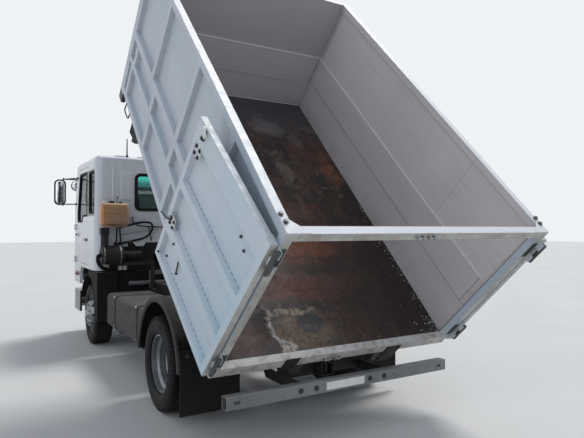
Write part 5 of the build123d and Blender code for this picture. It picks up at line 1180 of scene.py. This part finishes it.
def makeCabBack():
    look = cabBack
    face, back = look["face"], (-1, 0, 0)
    lowTank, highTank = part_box("coolant_tank")
    for name, (body, finish, radius, runs) in backPipes.items():
        addPipe(name, body, finish, runs, radius)
    rows = []
    for y, z in look["clips"]:
        rows += [(addBlock, (2.695, y - 0.010, z - 0.014), (face, y + 0.010, z + 0.014), 0.003),
                 (addBolt, (2.698, y, z - 0.008), back, 0.010, 0.006)]
    hose = backPipes["backHose"][3][0]
    for index in look["clamped"]:
        a, b = Vector(hose[index]), Vector(hose[index + 1])
        mid, along = a.lerp(b, 0.25), (b - a).normalized() * 0.006
        rows.append((addRod, mid - along, mid + along, 0.0185, 16))
    makePiece("backClips", "cab", "black_plastic", "steel", rows)
    # the pale bracket plate, its tabs, and the latches over the stand
    makePiece("backBrackets", "cab", "white_paint", "plate",
              [(addPrism, look["bracket"], 0.004, facing((2.704, 0, 0), back)),
               (addBlock, (2.702, 0.515, 1.400), (face, 0.585, 1.425), 0.002),
               *[(addBlock, (2.660, y0, 1.062), (face, y1, 1.118), 0.004) for y0, y1 in look["tabs"]],
               *[(addBlock, (2.700, y - 0.030, 1.085), (face, y + 0.030, 1.150), 0.004)
                 for y in look["latches"]]])
    makeCoolantFittings()
    foot = Vector(aerial["foot"])
    makePiece("aerial", "cab", "black_plastic", "rubber",
              [(addRod, foot, foot + Vector((0, 0, aerial["base"])), 0.022, 20, 0.012),
               (addRod, foot, foot + Vector((0, 0, aerial["tall"])), 0.0095, 14, 0.0065)])
    drumX, drumZ = drumFit["at"]
    makePiece("drumClamps", "chassis", "black_plastic", "steel",
              [(addSpun, drumFit["clamp"], 40, Matrix.Translation((drumX, y, drumZ)))
               for y in drumFit["clampsY"]])
    print("cab back made, tank", round(highTank.z - lowTank.z, 3), "m tall")


# Cab inside: padded seats, dashboard, levers, pedals. A pad: its side view in x and z, half width, rounding.
seatLook = {"y": 0.625, "half": 0.225, "voxel": 0.012, "pressure": 4.0, "frames": 20, "cap": 0.022,
            "pads": (("cushionPad", [(3.005, 1.310), (3.462, 1.310), (3.462, 1.462), (3.005, 1.462)],
                      0.225, 0.034),
                     ("backPad", [(2.868, 1.462), (2.985, 1.462), (2.955, 1.880), (2.868, 1.880)],
                      0.220, 0.034),
                     ("headPad", [(2.880, 1.905), (2.958, 1.905), (2.950, 2.040), (2.885, 2.040)],
                      0.125, 0.026)),
            "channels": (-0.125, 0.125), "channelWide": 0.014, "channelDeep": 0.008, "channelTop": 1.895}


def evaluatedMesh(item):
    return bpy.data.meshes.new_from_object(item.evaluated_get(bpy.context.evaluated_depsgraph_get()))


def paddedMesh(name, bm):
    # a closed shell remeshed, swollen by cloth pressure and capped, with nothing left live on it
    look = seatLook
    mesh = bpy.data.meshes.new(name)
    bm.to_mesh(mesh)
    bm.free()
    pad = placed(name, mesh)
    remesh = pad.modifiers.new("remesh", "REMESH")
    remesh.mode = "VOXEL"
    remesh.voxel_size = look["voxel"]
    solid = evaluatedMesh(pad)
    pad.modifiers.clear()
    pad.data = solid
    start = [v.co.copy() for v in solid.vertices]
    cloth = pad.modifiers.new("swell", "CLOTH")
    cloth.settings.use_pressure = True
    cloth.settings.uniform_pressure_force = look["pressure"]
    cloth.settings.effector_weights.gravity = 0.0
    cloth.point_cache.frame_end = look["frames"]
    for number in range(1, look["frames"] + 1):
        bpy.context.scene.frame_set(number)
    swollen = evaluatedMesh(pad)
    pad.modifiers.clear()
    for vert, was in zip(solid.vertices, start):
        move = swollen.vertices[vert.index].co - was
        if move.length > look["cap"]:
            move *= look["cap"] / move.length
        vert.co = was + move
    bpy.context.scene.frame_set(1)
    bpy.data.objects.remove(pad)
    return solid


def roundedPrism(outline, half, edge):
    # a side view in x and z made thick both ways in y, every edge rounded
    bm = bmesh.new()
    points = [spot(x, 0, z) for x, z in outline]
    addPrism(bm, [(-p.x, p.z) for p in points], half * 2, facing((0, -half, 0), (0, 1, 0)))
    bmesh.ops.recalc_face_normals(bm, faces=bm.faces)
    bmesh.ops.bevel(bm, geom=list(bm.edges), offset=edge, affect="EDGES",
                    segments=3, profile=0.5, material=-1)
    return bm


def pressChannels(pads):
    # two sewn channels run over the cushion and up the backrest
    look = seatLook
    for vert in pads.verts:
        near = min(abs(vert.co.y - at) for at in look["channels"])
        if near < look["channelWide"] and abs(vert.co.y) < look["half"] and vert.co.z < look["channelTop"]:
            deep = look["channelDeep"] * (1.0 - near / look["channelWide"]) ** 0.5
            out = Vector((vert.normal.x, 0, vert.normal.z))
            if out.x > 0.3 or out.z > 0.3:
                vert.co -= out * deep


def makeSeats():
    look = seatLook
    pads = bmesh.new()
    for name, outline, half, edge in look["pads"]:
        pads.from_mesh(paddedMesh(name, roundedPrism(outline, half, edge)))
    pressChannels(pads)
    for sign, side, title in sides:
        bm = pads.copy()
        bmesh.ops.translate(bm, vec=(0, sign * look["y"], 0), verts=bm.verts)
        piece = finishPiece("seatPads" + title, bm, "cab", "seat_cloth", "cloth", 80.0)
        more = piece.modifiers.new("smoother", "SUBSURF")
        more.levels = more.render_levels = 1
        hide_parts("seats")
    pads.free()
    rows = [(addBlock, (3.010, -0.215, 1.250), (3.455, 0.215, 1.322), 0.018),  # pan
            (addBlock, (3.060, -0.170, 1.094), (3.420, 0.170, 1.262), 0.020),  # pedestal
            (addBlock, (2.851, -0.205, 1.430), (2.874, 0.205, 1.870), 0.010),  # back shell
            (addRod, (3.060, -0.225, 1.330), (3.200, -0.235, 1.350), 0.010, 12),  # slide lever
            (addBlock, (2.960, -0.245, 1.300), (3.060, -0.215, 1.400), 0.012)]  # hinge cover
    rows += [(addBlock, (3.000, y - 0.020, 1.0905), (3.460, y + 0.020, 1.108), 0.004) for y in (-0.15, 0.15)]
    rows += [(addRod, (2.918, y, 1.860), (2.918, y, 1.930), 0.006, 10) for y in (-0.06, 0.06)]
    seat = Matrix.Translation((0, look["y"], 0))
    makePiece("seatFrames", "cab", "interior_plastic", "inside", rows, [place @ seat for place in bothGround])
    print("seats made")


dashLook = {"vents": (-0.960, -0.280, 0.280, 0.960),
            "dials": ((-0.700, 0.052), (-0.550, 0.052), (-0.625, 0.026)),
            "hood": [(4.020, 1.655), (4.180, 1.700), (4.180, 1.730), (4.060, 1.778),
                     (4.006, 1.770), (4.000, 1.752),
                     (4.024, 1.744)], "hoodWide": 0.36, "hoodY": -0.805, "dialZ": 1.700, "ticks": 9,
            "switches": 6, "pedals": (-0.500, -0.625, -0.760)}
wheelPad = {"foot": (4.025, -0.625, 1.440), "column": 0.3003, "lean": 28.0}


def makeDashboard():
    look = dashLook
    outline = [(-x, z) for x, z in look["hood"]]
    rows = [(addPrism, outline, look["hoodWide"], facing((0, look["hoodY"], 0), (0, 1, 0))),
            (addBezel, (4.060, 0.620, 1.428), (-0.83, 0, -0.55), (0.200, 0.070), 0.004, 0.010, 0.006),
            (addBlock, (4.002, -0.150, 1.515), (4.0105, 0.150, 1.560), 0.003)]
    for y in look["vents"]:
        rows.append((addBezel, (4.0095, y, 1.600), (-1, 0, 0), (0.062, 0.028), 0.008, 0.008, 0.008))
        for z in (1.584, 1.595, 1.606, 1.617):
            rows.append((addBlock, (4.003, y - 0.060, z - 0.0015), (4.0105, y + 0.060, z + 0.0015)))
    makePiece("dashParts", "cab", "interior_plastic", "plastic", rows)
    z = look["dialZ"]
    makePiece("dials", "cab", "interior_plastic", "darkSteel",
              [(addRod, (4.028, y, z), (4.022, y, z), radius, 28) for y, radius in look["dials"]])
    rows = []
    for y, radius in look["dials"]:
        at = Vector((4.0215, y, z))
        rows.append((addRod, at, at + Vector((0, 0.6, 0.8)) * radius * 0.8, 0.0016, 6))
        for i in range(look["ticks"]):
            turn = math.radians(-30 + 30 * i)
            tick = Vector((0, math.cos(turn), math.sin(turn))) * radius * 0.88
            rows.append((addRod, at + tick * 0.92, at + tick, 0.0014, 6))
    for i in range(look["switches"]):
        y = -0.125 + 0.05 * i
        rows.append((addBlock, (3.997, y - 0.017, 1.522), (4.003, y + 0.017, 1.553), 0.002))
    makePiece("dialMarks", "cab", "interior_plastic", "plate", rows)
    rows = [(addRod, (3.740, -0.160, 1.288), (3.720, -0.165, 1.330), 0.055, 24, 0.018),  # gear lever's boot
            (addRod, (3.720, -0.165, 1.320), (3.690, -0.180, 1.560), 0.008, 12),
            (addDome, (3.688, -0.181, 1.570), (0, 0, 1), 0.026, 0.024),
            (addRod, (3.700, 0.120, 1.288), (3.660, 0.120, 1.310), 0.030, 18),  # hand brake
            (addRod, (3.690, 0.120, 1.296), (3.580, 0.120, 1.300), 0.010, 12)]
    for y in look["pedals"]:
        rows += [(addBlock, (3.985, y - 0.035, 1.055), (4.000, y + 0.035, 1.135), 0.004),
                 (addRod, (3.995, y, 1.110), (4.110, y, 1.330), 0.008, 10)]
    makePiece("leversAndPedals", "cab", "interior_plastic", "rubber", rows)
    lean = math.radians(wheelPad["lean"])
    up = Vector((-math.sin(lean), 0, math.cos(lean)))
    hub = Vector(wheelPad["foot"]) + up * wheelPad["column"]
    top = hub + up * 0.012
    makePiece("wheelPad", "steering_wheel", "interior_plastic", "plastic",
              [(addRod, hub - up * 0.002, top, 0.072, 32, 0.064), (addDome, top, up, 0.064, 0.010)])
    print("dashboard made")


# Rubber stops and lashing hooks at the bed's front, in s and h, and the plates on its sill
bedStop = {"wedge": [(2.963, -0.023), (2.970, -0.133), (2.838, -0.110), (2.842, -0.155), (2.729, -0.097),
                     (2.632, -0.016), (2.640, 0.004), (2.960, 0.004)], "wedgeY": -1.150, "wedgeWide": 0.030,
           "hook": [(3.320, 0.010), (3.326, -0.060), (3.344, -0.112), (3.300, -0.122), (3.161, -0.107),
                    (3.140, -0.060), (3.133, 0.010)], "hookY": 1.140, "hookR": 0.007}
sillPlates = {"thick": 0.004, "inset": 0.022, "boltTop": 0.055,
              "boxes": ((0.430, 0.560, -0.040, 0.108), (-0.612, -0.445, -0.150, 0.070))}


def makeBedStops():
    look = bedStop
    upright = bedPlace @ Matrix.Rotation(math.radians(90), 4, "X")
    hook = [[(s, look["hookY"], h) for s, h in look["hook"]]]
    wedge = (addPrism, look["wedge"], look["wedgeWide"], Matrix.Translation((0, 0, look["wedgeY"])))
    for sign, side, title in sides:
        makePiece("bedStop" + title, "bed", "black_plastic", "rubber", [wedge], (onSide(upright, sign),))
        addPipe("bedHook" + title, "bed", "darkSteel", hook,
                look["hookR"], onSide(bedPlace, sign))
    rows, look = [], sillPlates
    thick, inset = look["thick"], look["inset"]
    for y0, y1, h0, h1 in look["boxes"]:
        rows.append((addBlock, (-thick, y0, h0), (0.0005, y1, h1), 0.0015))
        rows += [(addBolt, (-thick, y, h), (-1, 0, 0), 0.015, 0.009) for y in (y0 + inset, y1 - inset)
                 for h in (h0 + inset, min(h1, look["boltTop"]) - inset)]
    makePiece("sillPlates", "bed", "chassis_black", "chassis", rows, (bedPlace,))
    print("bed stops and sill plates made")


guardRim = {"centreZ": 0.420, "edgeY": 1.140, "from": 4.0, "to": 176.0, "steps": 64,
            "profile": [(0.546, -0.004), (0.546, 0.006), (0.553, 0.013), (0.566, 0.016),
                        (0.584, 0.016), (0.594, 0.011),
                        (0.5975, 0.002), (0.5975, -0.004)]}


def makeGuardRims():
    # a rolled rim round the outer edge of each rear mudguard
    look = guardRim
    centre = spot(0, 0, look["centreZ"])
    start, end = math.radians(look["from"]), math.radians(look["to"])
    for sign, side, title in sides:
        bm = bmesh.new()
        verts = [bm.verts.new(centre + Vector((r * math.cos(start),
                                               sign * (look["edgeY"] + w), r * math.sin(start))))
                 for r, w in look["profile"]]
        edges = [bm.edges.new(pair) for pair in zip(verts, verts[1:] + verts[:1])]
        bmesh.ops.spin(bm, geom=verts + edges, cent=centre, axis=(0, -1, 0), dvec=(0, 0, 0),
                       angle=end - start,
                       steps=look["steps"], use_merge=False, use_duplicate=False)
        bmesh.ops.holes_fill(bm, edges=[e for e in bm.edges if e.is_boundary], sides=0)
        finishPiece("guardRim" + title, bm, "chassis", "black_plastic", "tank", merge=0.00001)
    print("mudguard rims made")


tailBeam = {"x": (-0.905, -0.845), "half": 0.4215, "z": (0.385, 0.560), "wall": 0.008,
            "ribs": (-0.21, 0.0, 0.21),
            "boxHalf": 0.055, "boxZ": (0.400, 0.500), "boxOut": 0.120, "boltsY": (0.150, 0.380),
            "boltsZ": (0.415, 0.530), "pinR": 0.016}


def makeTailBeam():
    # a black channel that ties the bar's arms, with ribs, bolts and a towing box in its middle
    look = tailBeam
    (x0, x1), (z0, z1), half, wall = look["x"], look["z"], look["half"], look["wall"]
    box, rear, pinX = look["boxHalf"], x0 - look["boxOut"], x0 - look["boxOut"] * 0.7
    low, high = look["boxZ"]
    rows = [(addBlock, (x0, -half, z0), (x0 + wall, half, z1), 0.002),
            (addRod, (pinX, 0, low - 0.020), (pinX, 0, high + 0.035), look["pinR"], 20)]
    rows += [(addBlock, (x0 + 0.002, -half, z), (x1, half, z + wall), 0.002) for z in (z0, z1 - wall)]
    rows += [(addBlock, (x0 + 0.004, y - 0.004, z0 + 0.004), (x1 - 0.006, y + 0.004, z1 - 0.004), 0.001, 1)
             for y in look["ribs"]]
    rows += [(addBlock, (rear, -box, z - 0.005), (x0 + 0.003, box, z + 0.005), 0.003) for z in look["boxZ"]]
    for sign in (1, -1):
        rows.append((addBlock, (rear, sign * box - 0.006, low),
                     (x0 + 0.003, sign * box + 0.006, high), 0.004))
        rows += [(addBolt, (x0, sign * y, z), (-1, 0, 0), 0.022, 0.012) for z in look["boltsZ"]
                 for y in look["boltsY"]]
    makePiece("tailBeam", "chassis", "chassis_black", "chassis", rows)
    print("tail beam made")


underLook = {"chamber": (-0.245, 0.330, 0.470), "chamberR": 0.078, "chamberLong": 0.150,
             "tankCap": (0.826, 0.935),
             "sheets": (((2.690, 0.428, 0.700), (2.696, 0.870, 1.040)),
                        ((2.700, 0.428, 0.790), (3.180, 0.434, 1.020))),
             "sheetBolts": (0.760, 0.900, 1.010), "straps": (0.990, 1.945),
             "flaps": (0.68, 0.88, 1.08), "flapsZ": 0.60}


def makeUnderbody():
    look = underLook
    (x, y, z), radius, end = look["chamber"], look["chamberR"], look["chamber"][0] - look["chamberLong"]
    band = x - look["chamberLong"] / 2 + 0.008
    makePiece("brakeChambers", "chassis", "chassis_black", "chassis",
              [(addRod, (x, y, z), (end, y, z), radius, 28),
               (addRod, (band, y, z), (band - 0.016, y, z), radius + 0.010, 28),
               (addDome, (end, y, z), (-1, 0, 0), radius, 0.030),
               (addRod, (x + 0.100, y, z), (x, y, z), 0.014, 14),
               (addBlock, (x, y - 0.045, z - 0.060), (x + 0.110, y + 0.045, z - 0.048), 0.004)], bothGround)
    # dark sheets under the cab's back, which stand in for the shade there
    rows = [(addBlock, low, high, 0.0015, 1) for low, high in look["sheets"]]
    rows += [(addBolt, (2.691, 0.845, z), (-1, 0, 0), 0.014, 0.008) for z in look["sheetBolts"]]
    makePiece("shadeFillSheets", "chassis", "black_plastic", "mudguard", rows, bothGround, merge=0.00001)
    low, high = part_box("fuel_tank")
    top, up = Vector((*look["tankCap"], high.z - 0.002)), Vector((0, 0, 0.030))
    makePiece("fuelCap", "chassis", "tank_grey", "steel",
              [(addRod, top, top + up, 0.050, 32), (addRod, top + up, top + up * 1.4, 0.042, 32, 0.036),
               (addRibs, top, 12, 0.049, 0.024, 0.004)])
    makePiece("strapBolts", "chassis", "chassis_black", "steel",
              [(addBolt, (x, high.y + 0.004, z), (0, 1, 0), 0.018, 0.012) for x in look["straps"]
               for z in (low.z + 0.06, high.z - 0.05)])
    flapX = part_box("rear_mudguards")[0].x - rearAxleX
    makePiece("flapBolts", "chassis", "black_plastic", "darkSteel",
              [(addBolt, (flapX, y, look["flapsZ"]), (-1, 0, 0), 0.020, 0.010)
               for y in look["flaps"]], bothGround)
    print("underbody made")


# Stage. Lamps: where the light comes from, power, spread, colour
studioLamps = {"softKey": ((0.20, -0.48, 0.92), 1.95, 20, (1.0, 0.98, 0.95)),
               "softFill": ((-0.75, 0.60, 0.42), 0.45, 90, (0.90, 0.95, 1.0))}
studioWorld = {"light": (0.80, 0.885, 1.0, 1.0), "strength": 0.56, "seen": (0.86, 0.89, 0.92, 1.0)}


def makeFloor():
    floor = bmesh.new()
    bmesh.ops.create_grid(floor, x_segments=1, y_segments=1, size=60.0)
    mesh = bpy.data.meshes.new("floorPlane")
    floor.to_mesh(mesh)
    floor.free()
    coat = Coat("studioFloor", 0.85)
    coat.start(coat.cloud(0.6, 4.0, 0.3, 0.7), (0.62, 0.615, 0.605), (0.58, 0.575, 0.565))
    coat.put("Base Color", coat.colour)
    mesh.materials.append(coat.surface)
    placed("floorPlane", mesh)


def makeWorld():
    # the lighting sky, with a paler one where the camera looks at it straight, by reflection or through glass
    world = bpy.data.worlds.new("studioWorld")
    bpy.context.scene.world = world
    world.use_nodes = True
    nodes, links = world.node_tree.nodes, world.node_tree.links
    lit = nodes["Background"]
    lit.inputs["Color"].default_value = studioWorld["light"]
    lit.inputs["Strength"].default_value = studioWorld["strength"]
    shown = nodes.new("ShaderNodeBackground")
    shown.inputs["Color"].default_value = studioWorld["seen"]
    path = nodes.new("ShaderNodeLightPath")
    seen = path.outputs["Is Camera Ray"]
    for ray in ("Is Glossy Ray", "Is Transmission Ray"):
        either = nodes.new("ShaderNodeMath")
        either.operation = "MAXIMUM"
        links.new(seen, either.inputs[0])
        links.new(path.outputs[ray], either.inputs[1])
        seen = either.outputs[0]
    mixer = nodes.new("ShaderNodeMixShader")
    for index, value in enumerate((seen, lit.outputs[0], shown.outputs[0])):
        links.new(value, mixer.inputs[index])
    links.new(mixer.outputs[0], nodes["World Output"].inputs["Surface"])


def makeLights():
    for name, (source, power, spread, colour) in studioLamps.items():
        sun = bpy.data.lights.new(name, "SUN")
        sun.energy = power
        sun.angle = math.radians(spread)
        sun.color = colour
        placed(name, sun).rotation_euler = (-Vector(source)).to_track_quat("-Z", "Y").to_euler()


makeCamera()
makeFinishes()
paintNodes()
print("finishes made:", len(finishes))
makeFloor()
makeWorld()
makeLights()
makeTyres()
makeWheelFittings()
makeBedFittings()
makeFloorDetails()
makeBarFittings()
makeSeals()
makeWipers()
makeLamps()
makeMirrorGlass()
makeCabBack()
makeSeats()
makeDashboard()
makeBedStops()
makeUnderbody()
makeGuardRims()
makeTailBeam()

bpy.context.scene.view_settings.view_transform = "Standard"
